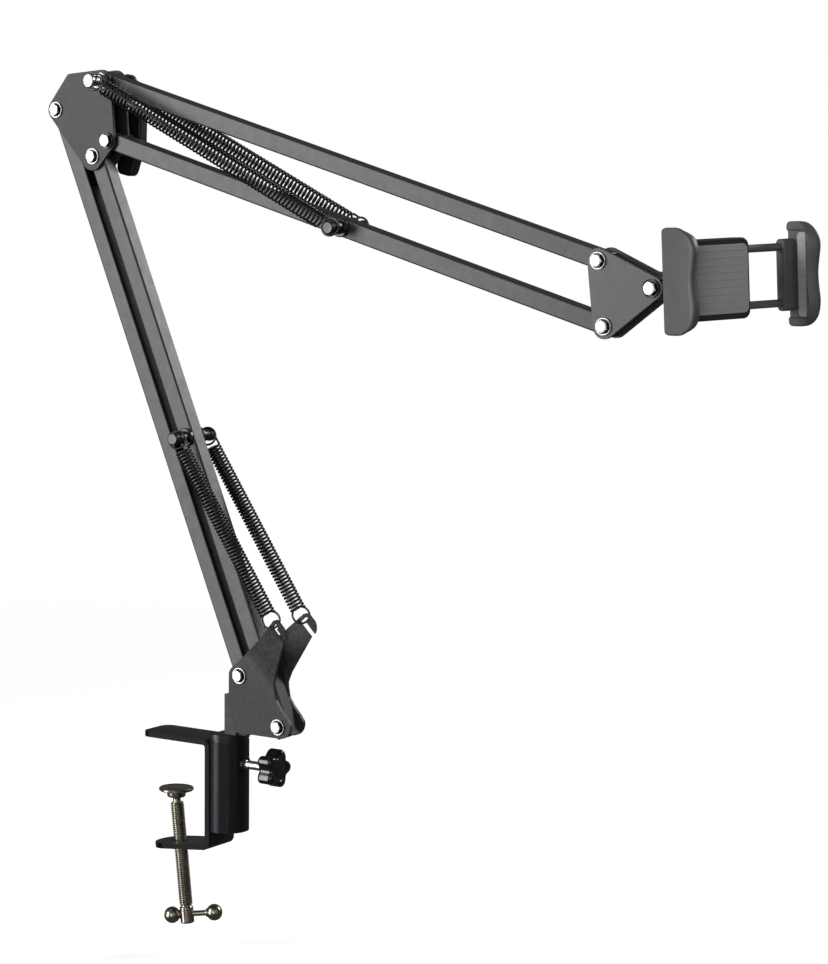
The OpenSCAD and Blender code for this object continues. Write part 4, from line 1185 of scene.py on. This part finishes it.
fm = bpy.data.materials.new("floor_white"); fm.use_nodes = True
fn, fl = fm.node_tree.nodes, fm.node_tree.links
pb = fn["Principled BSDF"]
pb.inputs["Roughness"].default_value = .9
pb.inputs["Specular IOR Level"].default_value = .2
ftc = fn.new("ShaderNodeTexCoord")
fgr = fn.new("ShaderNodeVectorMath"); fgr.operation = "LENGTH"
fl.new(ftc.outputs["Object"], fgr.inputs[0])
# the paper's own colour near the arm, fading into an evenly lit white backdrop further out
fmr = fn.new("ShaderNodeMapRange"); fmr.interpolation_type = "SMOOTHSTEP"
fmr.inputs["From Min"].default_value = .5; fmr.inputs["From Max"].default_value = 1.7
fl.new(fgr.outputs["Value"], fmr.inputs["Value"])
fcol = fn.new("ShaderNodeValToRGB")
fcol.color_ramp.elements[0].color = (.86, .86, .86, 1)
fcol.color_ramp.elements[1].color = (.05, .05, .05, 1)
fl.new(fmr.outputs["Result"], fcol.inputs["Fac"]); fl.new(fcol.outputs["Color"], pb.inputs["Base Color"])
fem = fn.new("ShaderNodeMapRange")
fem.inputs["To Min"].default_value = .55; fem.inputs["To Max"].default_value = 1.0
fl.new(fmr.outputs["Result"], fem.inputs["Value"])
pb.inputs["Emission Color"].default_value = (1, 1, 1, 1)
fl.new(fem.outputs["Result"], pb.inputs["Emission Strength"])
plane("floor", 30, -.125, fm)

scene = bpy.context.scene
scene.view_settings.view_transform = "Standard"
scene.view_settings.look = "None"
world = bpy.data.worlds.new("studio"); scene.world = world
world.use_nodes = True
wn_, wl_ = world.node_tree.nodes, world.node_tree.links
bg = wn_["Background"]
bg.inputs["Color"].default_value = (1, 1, 1, 1)
lp = wn_.new("ShaderNodeLightPath")
mr_ = wn_.new("ShaderNodeMapRange")
mr_.inputs["To Min"].default_value = .1; mr_.inputs["To Max"].default_value = 1.0
wl_.new(lp.outputs["Is Camera Ray"], mr_.inputs["Value"])
wl_.new(mr_.outputs["Result"], bg.inputs["Strength"])


def area(name, loc, target, size, power, col=(1, 1, 1)):
    l = bpy.data.lights.new(name, "AREA"); l.shape = "RECTANGLE"
    l.size, l.size_y = size; l.energy = power; l.color = col
    o = bpy.data.objects.new(name, l)
    o.location = loc
    d = Vector(target) - Vector(loc)
    o.rotation_euler = d.to_track_quat("-Z", "Y").to_euler()
    bpy.context.scene.collection.objects.link(o)
    return o


area("key", (-1.3, -1.9, .3), (.1, 0, .15), (.95, 2.3), 72)
area("fill", (1.9, -.9, .7), (.1, 0, .2), (.3, 1.6), 3)
area("front", (1.0, -2.3, .5), (.15, 0, .15), (1.1, 1.5), 16)
area("top", (-.3, -.5, 2.1), (.1, 0, .2), (1.2, .6), 1.5)
area("rim", (.95, 1.6, 1.1), (.05, 0, .25), (.7, .6), 19)

# ---------------------------------------------------------------- camera
cam = bpy.data.cameras.new("camera")
cam.sensor_width = 36; cam.sensor_fit = "AUTO"
cam.lens = 2837.37 / 964 * 36
cam.clip_start = .05; cam.clip_end = 60
co = bpy.data.objects.new("camera", cam)
a, p, ro = rad(32.931), rad(6.46), rad(.563)
fwd = Vector((-math.sin(a) * math.cos(p), math.cos(a) * math.cos(p), -math.sin(p)))
right = Vector((math.cos(a), math.sin(a), 0)); up = right.cross(fwd)
R = right * math.cos(ro) + up * math.sin(ro)
U = up * math.cos(ro) - right * math.sin(ro)
mw = Matrix.Identity(4)
for j in range(3):
    mw[j][0] = R[j]; mw[j][1] = U[j]; mw[j][2] = -fwd[j]
mw[0][3], mw[1][3], mw[2][3] = .97806, -1.271563, .329401
co.matrix_world = mw
bpy.context.scene.collection.objects.link(co)
bpy.context.scene.camera = co

vis_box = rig.bounds()
json.dump({"cad": [list(map(float, v)) for v in cad_box], "visual": [list(map(float, v)) for v in vis_box]},
          open("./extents.json", "w"))
